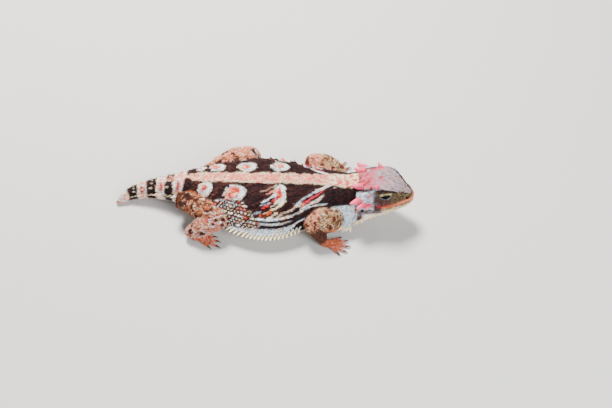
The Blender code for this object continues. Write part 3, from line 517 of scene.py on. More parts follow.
def toe_paths(limb):
    """Each toe's centre line, its radii with a swelling at each joint, and the way it points."""
    ahead, across, sole = heading(limb)
    made = []
    for k, length in enumerate(limb.toes):
        turn = (k / (len(limb.toes) - 1) - 0.5) * limb.fan
        way = ahead * math.cos(turn) + across * math.sin(turn)
        root = sole + way * 0.6 + (0, 0, 0.95)
        knuckle = root + way * (length * 0.45) + (0, 0, 0.35)
        tip = sole + way * (length + 0.6) + (0, 0, 0.55)
        centres = curve_through([root, knuckle, tip], TOE_STEPS)
        u = np.linspace(0, 1, TOE_STEPS)
        radii = blended(TOE_RADII, TOE_STEPS) * (1 + 0.10 * np.cos(u * 3 * 2 * math.pi))
        made.append((centres, radii, way))
    return made


def ball(centre, radius, turns=24):
    """A closed ball as rings along X, or an egg where radius is three lengths."""
    reach = np.broadcast_to(np.asarray(radius, float), (3,))
    rings = []
    for a in np.linspace(math.radians(6), math.radians(174), turns // 2 + 1):
        turn = np.arange(turns) * (2 * math.pi / turns)
        ring = np.stack([np.full(turns, -math.cos(a)), math.sin(a) * np.cos(turn),
                         math.sin(a) * np.sin(turn)], 1)
        rings.append(ring * reach + centre)
    return loft(rings)


def rough_forms():
    parts = [trunk()]
    for limb in LIMBS:
        parts.append(tube(*domed(*upper_path(limb)), LEG_SIDES))
        lower, radii = lower_path(limb)
        parts.append(tube(*domed(lower[::-1], radii[::-1]), LEG_SIDES))
        parts.append(tube(*palm_path(limb), PALM_SIDES, PALM_FLATNESS))
        parts.append(ball(limb.end, limb.thickness[-1]))
        for centres, radii, _ in toe_paths(limb):
            parts.append(tube(*domed(centres, radii), TOE_SIDES))
    for side, _ in SIDES:
        parts.append(ball(eye_centre(side), LID_RADIUS))
        centres = curve_through([hide_points(x, t, side)[0] for x, t, _ in BROW], BROW_STEPS)
        radii = blended([radius for _, _, radius in BROW], BROW_STEPS)
        parts.append(tube(*domed(centres, radii), BROW_SIDES))
    return joined(parts)


class Form:
    """A mesh held as arrays, in millimetres, while it is worked on."""

    def __init__(self, mesh):
        self.take(mesh, (read_vectors(mesh.vertices, "co", 3) - SHIFT) / MM)

    def take(self, mesh, points):
        self.points = points
        self.faces = [tuple(p.vertices) for p in mesh.polygons]
        self.edges = read_vectors(mesh.edges, "vertices", 2).astype(int)
        self.degree = np.bincount(self.edges.ravel(), minlength=len(self.points))[:, None]

    def mean_of_neighbours(self, values):
        a, b = self.edges.T
        total = np.stack([
            np.bincount(a, values[b, k], len(values)) + np.bincount(b, values[a, k], len(values))
            for k in range(values.shape[1])
        ], axis=1)
        return total / np.maximum(self.degree, 1)

    def relax(self, rounds, weight=None):
        """Smooths without shrinking, by a push in and a push back out."""
        weight = 1.0 if weight is None else weight[:, None]
        for _ in range(rounds):
            for push in (0.5, -0.52):
                self.points += weight * push * (self.mean_of_neighbours(self.points) - self.points)

    def normals(self):
        quads = np.array([f if len(f) == 4 else (*f, f[2]) for f in self.faces if len(f) in (3, 4)])
        p = self.points[quads]
        face = np.cross(p[:, 2] - p[:, 0], p[:, 3] - p[:, 1])
        total = np.zeros_like(self.points)
        for corner in range(4):
            for k in range(3):
                total[:, k] += np.bincount(quads[:, corner], face[:, k], len(self.points))
        return unit(total)

    def split(self, chosen):
        """Halves every edge between chosen points."""
        bm = bmesh.new()
        verts = [bm.verts.new(p) for p in self.points]
        for face in self.faces:
            bm.faces.new([verts[i] for i in face])
        bm.verts.index_update()
        edges = [e for e in bm.edges if chosen[e.verts[0].index] and chosen[e.verts[1].index]]
        bmesh.ops.subdivide_edges(bm, edges=edges, cuts=1, use_grid_fill=True)
        bmesh.ops.triangulate(bm, faces=[f for f in bm.faces if len(f.verts) > 4])
        mesh = bpy.data.meshes.new("split form")
        bm.to_mesh(mesh)
        bm.free()
        self.take(mesh, read_vectors(mesh.vertices, "co", 3))
        bpy.data.meshes.remove(mesh)


VOXEL = 0.46
HEAD_FROM = 34.0


def fused_form():
    """One closed skin over all the rough forms, with the head's mesh twice as fine."""
    obj = placed("rough", mesh_from("rough", *rough_forms()))
    remesh = obj.modifiers.new("fuse", "REMESH")
    remesh.mode = "VOXEL"
    remesh.voxel_size = VOXEL * MM
    graph = bpy.context.evaluated_depsgraph_get()
    fused = bpy.data.meshes.new_from_object(obj.evaluated_get(graph))
    bpy.data.objects.remove(obj)
    form = Form(fused)
    bpy.data.meshes.remove(fused)
    form.relax(3)
    form.split(form.points[:, 0] > HEAD_FROM)
    form.relax(2, smooth_step(HEAD_FROM - 1, HEAD_FROM + 1, form.points[:, 0]))
    return form


# Only points this near to a leg's centre line are measured against it.
LIMB_REACH = 7.0


class Places:
    """Where each point of the skin lies: on the trunk or on a leg, and how far along it."""

    def __init__(self, points):
        self.points = points
        self.on_trunk(points)
        self.on_limbs(points)

    def on_trunk(self, points):
        x = points[:, 0].copy()
        for _ in range(3):
            place, slope = midline(x)
            y = (points[:, 1] - place) * np.hypot(1, slope)
            x = points[:, 0] + (points[:, 1] - place) * slope
        self.x, self.y, self.z = x, y, points[:, 2]
        self.side = np.where(y < 0, -1.0, 1.0)
        self.out = np.abs(y)
        _, slope = midline(x)
        self.ahead = unit(np.stack([np.ones_like(slope), slope, np.zeros_like(slope)], 1))
        rings, faces = trunk()
        tree = BVHTree.FromPolygons(rings.tolist(), faces)
        found = [tree.find_nearest(p) for p in points.tolist()]
        self.from_trunk = np.array([hit[3] for hit in found])
        near = np.array([tuple(hit[0]) for hit in found])
        index = np.minimum(np.array([hit[2] for hit in found]),
                           (len(trunk_stations()) - 1) * TRUNK_SIDES - 1)
        low, s = index // TRUNK_SIDES * TRUNK_SIDES, index % TRUNK_SIDES
        a, b = rings[low + s], rings[low + (s + 1) % TRUNK_SIDES]
        share = np.clip(((near - a) * (b - a)).sum(1) / np.maximum(((b - a) ** 2).sum(1), 1e-9), 0, 1)
        self.around = (s + share) / TRUNK_SIDES
        self.t = np.where(self.around <= 0.5, self.around, 1 - self.around) * 2

    def on_limbs(self, points):
        count = len(points)
        self.from_limb = np.full(count, 99.0)
        self.limb = np.full(count, -1)
        self.along = np.zeros(count)
        self.limb_way, self.spoke = np.zeros((count, 3)), np.zeros((count, 3))
        for n, limb in enumerate(LIMBS):
            stretches = [(*upper_path(limb), 0.0), (*lower_path(limb), 1.0), (*palm_path(limb), 2.0)]
            stretches += [(centres, radii, 3.0) for centres, radii, _ in toe_paths(limb)]
            for centres, radii, start in stretches:
                low, high = centres.min(0) - LIMB_REACH, centres.max(0) + LIMB_REACH
                near = np.nonzero(np.all((points > low) & (points < high), axis=1))[0]
                p = points[near][:, None]
                a, b = centres[:-1], centres[1:]
                u = np.clip(((p - a) * (b - a)).sum(2) / ((b - a) ** 2).sum(1), 0, 1)
                gap = np.linalg.norm(p - a - u[..., None] * (b - a), axis=2) - (
                    radii[:-1] * (1 - u) + radii[1:] * u)
                best = gap.argmin(axis=1)
                rows = np.arange(len(near))
                gap, u = gap[rows, best], u[rows, best]
                closer = gap < self.from_limb[near]
                chosen, best, u = near[closer], best[closer], u[closer]
                self.from_limb[chosen] = gap[closer]
                self.limb[chosen] = n
                self.along[chosen] = start + (best + u) / (len(centres) - 1)
                self.limb_way[chosen] = unit(b - a)[best]
                self.spoke[chosen] = points[chosen] - a[best] - u[:, None] * (b - a)[best]
        self.limb_share = smooth_step(-0.7, 0.9, self.from_trunk - np.maximum(self.from_limb, -0.5))
        self.limb_share[self.limb < 0] = 0.0


def carve_eyes(form):
    """Opens each lid on a pocket behind the eyeball and thickens its rim."""
    for side, _ in SIDES:
        u, v, w, reach = eye_places(form.points, side)
        near = (w > 0.2) & (np.hypot(u, v) < LID_NEAR)
        opening, rim = near & (reach < 1), near & (reach >= 1) & (reach < 1.22)
        shell = np.sqrt(np.maximum((EYE_RADIUS + LID_SHELL) ** 2 - u * u - v * v, 0.0))
        covering = near & (reach >= 1) & (np.hypot(u, v) < EYE_RADIUS)
        local = np.stack([u, v, w], 1)
        local[covering, 2] = np.maximum(w, shell)[covering]
        for mask, target in ((opening & (reach > 0.74), 0.98), (rim, 1.03)):
            local[mask, :2] *= (target / np.maximum(reach[mask], 0.1))[:, None]
        local[opening, 2] = np.minimum(local[opening, 2], 0.9)
        form.points = np.where(near[:, None], eye_centre(side) + local @ facing_out(side).T, form.points)


def flank_top(x, t):
    """How far a place belongs to the back, whose skin lies in fine folds."""
    return smooth_step(-31, -26, x) * (1 - smooth_step(22, 27, x)) * (1 - smooth_step(0.34, 0.38, t))


def carve(form, places):
    """Moves the skin in and out for its folds, lips, nostrils, ears and brows."""
    x, t, z, out = places.x, places.t, places.z, places.out
    on_trunk = 1 - places.limb_share
    push = -COAT_DEPTH * np.where(places.along > 3, 0.4, 1.0)
    # The mouth's groove between its lips, and the dimple at its corner.
    groove = above_mouth(places)
    lips = smooth_step(MOUTH_CORNER_X - 0.6, MOUTH_CORNER_X + 0.8, x) * ((t > 0.3) | (x > ROSTRAL_X))
    push += lips * (-0.62 * bell(groove, 0, 0.2) + 0.26 * bell(groove, 0.62, 0.34)
                    + 0.2 * bell(groove, -0.6, 0.34))
    push -= 0.3 * (bell(x, MOUTH_CORNER_X - 0.8, 1.0) * bell(groove, -0.5, 1.0) * (t > 0.3))
    for side, _ in SIDES:
        gap = nostril_gap(form.points, side)
        push += -0.9 * bell(gap, 0, 0.42) + 0.2 * bell(gap, 0.85, 0.25)
        push -= 0.9 * bell(ear_gap(form.points, side), 0, 0.8)
    # The crown's hollow, the notch behind it, and the creases of the neck.
    push -= 0.35 * smooth_step(37, 40, x) * bell(out, 0, 2.0) * bell(x, 48, 5.0)
    push -= 0.9 * bell(out, 0, 1.5) * bell(x, 35.6, 1.4) * (t < 0.3)
    neck = smooth_step(0.36, 0.46, t) * (1 - smooth_step(0.86, 0.95, t))
    push -= bell(x - 0.10 * (z - 9), 35.2, 0.55) * neck
    push -= 0.5 * bell(x, 31.4, 0.5) * bell(t, 0.3, 0.1)
    push -= 0.4 * bell(x, 28.4, 0.5) * bell(t, 0.34, 0.1)
    # The roll and the groove along the flank, the slanting waves below, and the neck's small folds.
    flank = smooth_step(-22, -14, x) * (1 - smooth_step(22, 30, x)) * on_trunk
    drift = (clouds(form.points, 6.0, 11) - 0.5) * 0.05
    push += flank * (0.40 * bell(t + drift, 0.375, 0.020) - 0.45 * bell(t + drift, 0.43, 0.022))
    slant = x * 0.75 + out * 0.9
    waves = np.sin(slant * 2 * math.pi / 2.6 + clouds(form.points, 5.0, 5) * 9)
    lower = smooth_step(0.2, 0.33, t) * (1 - smooth_step(0.46, 0.52, t))
    push += 0.16 * waves * lower * flank
    folds = np.sin(x * 2 * math.pi / 2.1 + clouds(form.points, 4.0, 6) * 7)
    push += 0.15 * folds * bell(x, 30, 5) * (t > 0.25) * (t < 0.9) * on_trunk
    # The drawn-out grain of the back, and a slight unevenness everywhere.
    above = flank_top(x, t) * on_trunk
    push += 0.7 * (drawn_out(x, out, places.side, 0.9, 4.0, 53) - 0.5) * above
    push += 0.22 * (clouds(form.points, 2.4, 21) - 0.5) * smooth_step(0.0, 0.2, z)
    form.points = form.points + form.normals() * push[:, None]
    form.points[:, 2] = np.maximum(form.points[:, 2], 0.05)


# Colours of the hide, as red, green and blue from 0 to 255.

def paint(red, green, blue):
    """The colour in linear light."""
    c = np.array((red, green, blue)) / 255
    return np.where(c <= 0.04045, c / 12.92, ((c + 0.055) / 1.055) ** 2.4)


CHOCOLATE = paint(46, 18, 20)
NIGHT = paint(26, 12, 16)
UMBER = paint(94, 48, 38)
STRIPE_PINK = paint(242, 140, 122)
STRIPE_PALE = paint(246, 208, 180)
CREAM = paint(252, 236, 196)
CHALK = paint(240, 246, 252)
ASH = paint(176, 192, 206)
CRIMSON = paint(196, 30, 44)
ORANGE = paint(230, 92, 46)
ROSE = paint(238, 78, 108)
BLUE_GREY = paint(172, 166, 178)
FLAP_GREY = paint(184, 208, 218)
MASK_BROWN = paint(88, 56, 47)
DARK_LINE = paint(28, 12, 14)
LID_YELLOW = paint(226, 214, 140)
SALMON = paint(242, 106, 56)
OLIVE = paint(206, 190, 126)
BELLY = paint(228, 216, 202)
LEG_PINK = paint(226, 138, 118)
LEG_BROWN = paint(104, 52, 34)
TAN = paint(230, 174, 130)
LEG_ORANGE = paint(224, 116, 58)
HAND_PINK = paint(222, 122, 92)
HORN_PINK = paint(255, 94, 136)
# The side of the cells that make the edges of patches ragged.
FINE_CELL = 0.62


class Coat:
    """One colour a point, laid on in washes."""

    def __init__(self, points, ground):
        self.points = points
        self.colour = np.tile(ground, (len(points), 1))
        self.fine = hashed(np.floor(points / FINE_CELL).astype(np.int64), 3)

    def wash(self, colour, mask):
        mask = np.clip(np.asarray(mask, float), 0, 1)[:, None]
        self.colour = self.colour * (1 - mask) + colour * mask

    def speckle(self, colours, mask, size, seed, grain=0.12):
        """Blotches of several colours, each about size across, with a share of grain."""
        cells = np.floor(self.points / (size * 0.6)).astype(np.int64)
        pick = clouds(self.points, size, seed, 2) * (1 - grain) + grain * hashed(cells, seed)
        pick = np.clip((pick - 0.28) / 0.44, 0, 0.999)
        self.wash(np.array(colours)[(pick * len(colours)).astype(int)], mask)


def inside(distance, soft=0.35):
    return 1 - smooth_step(-soft, soft, distance)


def from_line(x, out, path):
    """How far each place is from a line through the given ones, and its share of the line's length."""
    path = np.array(path, float)
    steps = np.linalg.norm(np.diff(path, axis=0), axis=1)
    starts = np.concatenate([[0.0], np.cumsum(steps)])
    gap, share = np.full(len(x), 1e9), np.zeros(len(x))
    for k, (a, b) in enumerate(zip(path, path[1:])):
        u = np.clip(((x - a[0]) * (b[0] - a[0]) + (out - a[1]) * (b[1] - a[1])) / steps[k] ** 2, 0, 1)
        here = np.hypot(x - a[0] - u * (b[0] - a[0]), out - a[1] - u * (b[1] - a[1]))
        closer = here < gap
        gap[closer] = here[closer]
        share[closer] = ((starts[k] + u * steps[k]) / starts[-1])[closer]
    return gap, share


# The way that streaks trail, as x and out.
STREAK_WAY = unit(np.array((-1.0, 0.6)))


def drawn_out(x, out, side, across, along, seed):
    """Noise in long streaks that trail back and out over the back."""
    p, q = x * STREAK_WAY[0] + out * STREAK_WAY[1], out * STREAK_WAY[0] - x * STREAK_WAY[1]
    return clouds(np.stack([p * across / along, q, side * 40], 1), across, seed, 2)


# Pale patches of the back: x and sideways place of the middle, half-lengths, the side, and the size
# of the pink and red heart.
PATCHES = (
    (-11.2, 8.2, 4.0, 3.6, -1, 0.66), (5.6, 7.6, 2.5, 4.3, -1, 0.53), (-22.8, 6.4, 2.9, 2.6, -1, 0.42),
    (-8.2, 5.6, 4.0, 2.9, 1, 0.45), (5.0, 6.4, 3.6, 2.9, 1, 0.45), (-20.2, 4.6, 3.2, 2.3, 1, 0.45),
    (-27.4, 3.9, 2.4, 1.6, 1, 0.35), (6.5, 13.0, 3.0, 2.4, 1, 0.45),
)
# Streaks that trail from a patch back over the flank: the line as x and out, its half-width, and its
# colour.
STREAKS = (
    (((4.2, 4.4), (1.8, 6.0), (-1.6, 7.4)), 0.42, "dusk"),
    (((4.4, 6.0), (2.4, 7.6), (0.6, 8.4)), 0.32, "rose"),
    (((4.0, 8.2), (2.0, 9.9), (-0.8, 11.6)), 0.40, "chalk"),
    (((4.8, 8.8), (2.6, 10.7), (0.8, 11.7)), 0.20, "dark"),
    (((5.6, 8.8), (4.2, 10.3), (2.4, 11.9)), 0.50, "crimson"),
    (((2.2, 11.6), (0.4, 12.2), (-1.2, 12.4)), 0.28, "ash"),
    (((1.4, 12.5), (-0.2, 13.3)), 0.40, "crimson"),
    (((5.8, 10.2), (4.2, 11.8), (2.6, 12.9)), 0.30, "cream"),
    (((7.6, 10.6), (5.4, 12.6), (3.2, 14.0), (0.2, 14.7)), 0.34, "cream"),
    (((2.6, 14.4), (1.2, 15.0), (-1.0, 15.6)), 0.50, "orange"),
    (((1.0, 15.1), (-0.4, 15.6)), 0.22, "dark"),
    (((4.8, 14.4), (2.8, 15.7), (1.0, 16.4)), 0.30, "cream"),
    (((-1.4, 14.6), (-3.6, 15.0)), 0.28, "ash"),
)
STREAK_TONES = {
    "chalk": CHALK, "ash": ASH, "cream": CREAM, "rose": STRIPE_PINK, "crimson": CRIMSON, "orange": ORANGE,
    "dark": NIGHT, "dusk": STRIPE_PALE * 0.3 + UMBER * 0.7,
}
# Lines of the pale bands over the shoulders, as x and out.
BAND_UPPER = ((25.5, 2.0), (23.0, 3.5), (19.0, 6.0), (15.5, 8.5), (11.8, 11.6))
BAND_CORE = ((22.4, 5.0), (19.3, 7.4), (14.8, 10.2))
BAND_LOWER = ((27.0, 3.8), (24.2, 5.6), (19.8, 8.9), (17.5, 10.2), (13.8, 11.9))
BAND_TRAIL = ((14.2, 10.9), (12.1, 11.8), (8.5, 13.8), (4.8, 15.6))
BAND_SHADE = ((25.0, 6.4), (20.4, 9.6), (14.5, 12.4), (9.5, 14.6))
# Lines along the flank, from the top down: the x where each is given, its t there, its half-width in
# t there and its colour.
FLANK_LINES = (
    ((-3, 5, 9.5, 13.3, 16.5, 20.2, 26, 34), (0.360, 0.360, 0.352, 0.344, 0.321, 0.313, 0.322, 0.338),
     (0.009, 0.009, 0.007, 0.007, 0.007, 0.007, 0.008, 0.008), "pale"),
    ((-3, 5, 9.5, 13.3, 16.5, 20.2, 26, 31), (0.376, 0.376, 0.374, 0.370, 0.348, 0.338, 0.339, 0.352),
     (0.008, 0.008, 0.014, 0.020, 0.018, 0.014, 0.008, 0.008), "dark"),
    ((-4, 3, 7, 10), (0.392, 0.392, 0.390, 0.388), (0.008, 0.008, 0.007, 0.004), "pale"),
    ((-3, 1, 8, 11), (0.409, 0.410, 0.406, 0.400), (0.009, 0.009, 0.010, 0.012), "dark"),
    ((-21, -14, -8, 1, 8, 11, 13, 18), (0.478, 0.474, 0.466, 0.457, 0.455, 0.438, 0.415, 0.392),
     (0.030, 0.030, 0.030, 0.030, 0.028, 0.016, 0.008, 0.006), "pale"),
)
# About how many millimetres of the flank one of t spans, and the rows of dots behind the lines.
T_LENGTH = 50.0
DOT_PITCH, DOT_RADIUS = 1.25, 0.38
# Dark rings of the tail, as where each starts and ends.
TAIL_RINGS = ((-32.0, -28.2), (-40.2, -36.8), (-48.4, -44.2), (-56.6, -52.4))


def paint_patches(coat, x, out, side):
    """White in front with a cream edge, a pink and red heart behind it, and a dark border."""
    for cx, cy, half_x, half_y, word, heart_size in PATCHES:
        p, q = (x - cx) / half_x, (out - cy) / half_y
        here, reach = side == word, np.hypot(p, q)
        coat.wash(NIGHT, here * (1 - smooth_step(1.05, 1.5, reach)) * smooth_step(-0.6, 0.2, p) * 0.85)
        ragged = reach + np.where(p < 0.2, 0.3 * (coat.fine - 0.4), 0)
        body = here * inside(ragged - 1, 0.06)
        coat.speckle([STRIPE_PALE, CHALK, ASH, CHALK, STRIPE_PALE], body, 1.6, 31)
        middle = np.hypot((p + 0.14) / heart_size, (q + 0.04) / heart_size)
        coat.speckle([STRIPE_PALE, STRIPE_PINK, ORANGE, CRIMSON, STRIPE_PINK],
                     body * inside(middle - 1, 0.16), 1.5, 32)
        crescent = bell(middle, 0.85, 0.25) * smooth_step(0.0, 0.5, p + 0.14 - 0.4 * q)
        coat.wash(CRIMSON * 0.8 + ORANGE * 0.2, body * crescent * 0.9)
        coat.wash(CHALK, body * smooth_step(0.42, 0.56, p + 0.15 * reach))
        coat.wash(CREAM, here * bell(reach, 0.95, 0.06) * smooth_step(0.1, 0.4, p))
    ground = inside(np.hypot((x - 1.6) / 4.6, (out - 11.2 + 0.6 * (x - 1.6)) / 3.0) - 1, 0.2) * (side < 0)
    coat.wash(CHOCOLATE, ground * (x < 3.2) * 0.8)
    for path, half, tone in STREAKS:
        gap, share = from_line(x, out, path)
        coat.wash(STREAK_TONES[tone], inside(gap - half * (1.1 - 0.5 * share), 0.12) * (side < 0))


def paint_band(coat, x, out):
    """The pale bands that run from the nape back and out over each shoulder."""
    shade, upper, lower, trail = (from_line(x, out, path)[0]
                                  for path in (BAND_SHADE, BAND_UPPER, BAND_LOWER, BAND_TRAIL))
    coat.wash(NIGHT, inside(shade - 0.9, 0.4))
    coat.speckle([CHALK, ASH, CHALK, STRIPE_PALE], inside(upper - 0.50, 0.15), 1.3, 41)
    coat.speckle([STRIPE_PALE, ASH, CHALK, STRIPE_PALE], inside(lower - 0.42, 0.15), 1.3, 42)
    core, share = from_line(x, out, BAND_CORE)
    for colour, halves, on in ((NIGHT, (0.4, 1.0, 1.1), inside(0.8 - lower, 0.1)),
                               (CRIMSON * 0.7 + ROSE * 0.3, (0.2, 0.34, 0.44), 1)):
        coat.wash(colour, inside(core - np.interp(share, (0, 0.3, 1), halves), 0.15) * on)
    coat.wash(STRIPE_PALE * 0.9, inside(trail - 0.26, 0.15) * 0.9)
    coat.wash(STRIPE_PINK, inside(np.hypot(x - 14.2, out - 10.9) - 0.8, 0.3))


def paint_flank(coat, places, x, out):
    """Long lines above the fringe, and rows of pale dots on a dark ground behind them."""
    t, here = places.t, places.limb_share < 0.9
    wobble = (clouds(places.points, 3.0, 57, 2) - 0.5) * 0.008
    for stations, ts, halves, tone in FLANK_LINES:
        half = np.interp(places.x, stations, halves)
        on = inside((np.abs(t + wobble - np.interp(places.x, stations, ts)) - half) * T_LENGTH, 0.2)
        on = on * smooth_step(stations[0], stations[0] + 1.5, places.x)
        on = on * inside(places.x - stations[-1], 1.0)
        if tone == "dark":
            coat.speckle([NIGHT, CHOCOLATE, NIGHT + BLUE_GREY * 0.03, NIGHT], on * here, 1.5, 58)
        else:
            coat.speckle([CHALK, ASH, CHALK, CHALK, STRIPE_PALE], on * here, 1.3, 59)
    top = np.interp(x, (-30, -20, -8, -4.2, 0), (7.5, 9.6, 10.8, 14.7, 17.5))
    low = np.interp(places.x, (-14, -9, -4.8, 0), (0.490, 0.455, 0.438, 0.43))
    dotted = smooth_step(0.0, 0.5, out - top) * smooth_step(-33, -30, places.x) * smooth_step(-1.0, -2.0, x)
    dotted = dotted * (t > 0.2) * inside((t - low) * T_LENGTH, 0.2)
    coat.speckle([NIGHT, CHOCOLATE, UMBER * 0.6, CRIMSON * 0.3, CHOCOLATE], dotted, 1.4, 54)
    p, q = places.x / DOT_PITCH + 7 * t, t * T_LENGTH / DOT_PITCH
    row = np.floor(q)
    p = p + 0.5 * (row % 2)
    column = np.floor(p)
    dot = dotted * inside(np.hypot(p - column - 0.5, q - row - 0.5) * DOT_PITCH - DOT_RADIUS, 0.05)
    luck = hashed(np.stack([column, row, places.side], 1).astype(np.int64), 55)
    for colour, least in ((CREAM, 0.0), (CHALK, 0.45), (STRIPE_PINK, 0.82), (ORANGE * 0.6, 0.96)):
        coat.wash(colour, dot * (luck > least))


def paint_trunk(coat, places):
    x = places.x + (clouds(places.points, 2.2, 51) - 0.5) * 1.2
    out = places.out + (clouds(places.points, 2.0, 52) - 0.5) * 1.0
    side, t = places.side, places.t
    # The streaks follow the carved folds of the back: painted shade in their grooves, and on their ridges
    # umber that is partly the back's own brown and partly painted light.
    folds = drawn_out(places.x, places.out, side, 0.9, 4.0, 53)
    coat.wash(UMBER, smooth_step(0.50, 0.68, folds) * (0.55 - 0.4 * smooth_step(-4, 14, x)))
    coat.wash(NIGHT, smooth_step(0.5, 0.38, folds) * 0.6)
    paint_patches(coat, x, out, side)
    paint_band(coat, x, out)
    paint_flank(coat, places, x, out)
    y = places.y + (clouds(places.points, 2.0, 60) - 0.5) * 0.9
    shift = np.interp(places.x, (-36, -24, -4, 18, 27, 34), (-0.7, -0.9, -0.5, 0.2, 0.7, 0.0))
    half = np.interp(places.x, (-36, -28, -5, 18, 22, 27, 31, 36), (1.2, 2.1, 2.4, 2.4, 2.6, 2.9, 3.4, 3.6))
    stripe = inside(np.abs(y - shift) - half, 0.2)
    coat.speckle([STRIPE_PALE, STRIPE_PINK, STRIPE_PINK * 0.96, STRIPE_PALE, STRIPE_PINK], stripe, 2.0, 61)
    coat.wash(CREAM, bell(np.abs(y - shift), half, 0.45) * (clouds(places.points, 1.6, 62) > 0.48) * 0.8)
    nape = stripe * smooth_step(21.5, 25.5, x)
    coat.speckle([CREAM, STRIPE_PALE, ORANGE, ROSE, STRIPE_PALE, CREAM], nape, 1.5, 63)
    dark = inside(np.hypot((x - 28.6) / 6.6, (out - 6.9) / 3.2) - 1, 0.1) * (out > half)
    coat.speckle([NIGHT, CHOCOLATE, NIGHT], dark * (places.x < 36.6), 1.5, 64)
    line = np.interp(places.x, (24, 27, 31, 36), (0.36, 0.345, 0.335, 0.345))
    flap = smooth_step(24.5, 26.5, places.x) * smooth_step(-0.008, 0.008, t - line) * (t < 0.62)
    coat.speckle([FLAP_GREY, CHALK, FLAP_GREY, ASH, CHALK], flap, 1.2, 65)
    spot = np.hypot((places.x - 36.4) / 0.9, (t - 0.40) / 0.035)
    coat.wash(CRIMSON * 0.9 + ORANGE * 0.1, inside(spot - 1, 0.3) * 0.9)
    coat.wash(BELLY, smooth_step(0.54, 0.60, t) * 0.95)
    seam = np.interp(t, (0.40, 0.46, 0.52, 0.62), (37.0, 38.2, 38.9, 38.5))
    coat.wash(DARK_LINE, inside(np.abs(places.x - seam) - 0.75, 0.3) * (t > 0.41) * (t < 0.66))


def paint_tail(coat, places):
    on = inside(places.x + 28.6, 0.3) * (places.out > np.interp(places.x, (-34, -28), (0.0, 2.4)))
    pale = on * inside(places.x + 32.0, 0.3)
    coat.speckle([CHALK, STRIPE_PALE, STRIPE_PINK, CHALK, STRIPE_PALE], pale, 1.6, 71)
    for start, end in zip(TAIL_RINGS[1:], TAIL_RINGS):
        blot = np.hypot((places.x - (start[1] + end[0]) / 2) / 1.1, (places.t - 0.25) / 0.13)
        coat.wash(CRIMSON * 0.8, pale * inside(blot - 1, 0.25) * 0.85)
    drift = places.x + (clouds(places.points, 1.8, 72) - 0.5) * 1.4
    for start, end in TAIL_RINGS:
        ring = on * smooth_step(start - 0.25, start + 0.25, drift) * inside(drift - end, 0.25)
        coat.speckle([NIGHT, CHOCOLATE, NIGHT], ring, 1.5, 73)
        coat.wash(CREAM, pale * bell(drift, end + 0.6, 0.35) * 0.7)
    coat.wash(STRIPE_PINK, pale * inside(places.out - 1.1, 0.3) * smooth_step(-45, -36, places.x) * 0.7)
    coat.wash(BELLY, on * smooth_step(0.62, 0.72, places.t) * 0.8)


# Rosy blots of the skull's top: x, y to the left, and the half-lengths.
CROWN_BLOTS = (
    (39.8, -1.2, 1.7, 1.5), (38.6, -3.4, 1.6, 1.4), (39.4, 1.6, 1.4, 1.2), (44.3, 0.2, 1.2, 0.7),
    (43.3, 4.6, 1.9, 1.0), (45.2, -1.4, 1.1, 0.7), (36.6, -1.0, 1.6, 3.2), (37.0, 4.4, 1.4, 1.6),
    (40.6, 5.6, 1.4, 1.0), (41.4, -5.2, 1.2, 1.0),
)
# The edge of the pale crown over the dark cheek, as x and t.
CROWN_EDGE = ((42.8, 0.262), (47.5, 0.240), (51.8, 0.195), (54.7, 0.140), (57.3, 0.080))
# The dark line from the temple to the eye, as x and t.
TEMPLE_LINE = ((34.0, 0.20), (37.0, 0.165), (39.0, 0.165), (41.0, 0.20), (42.4, 0.235))


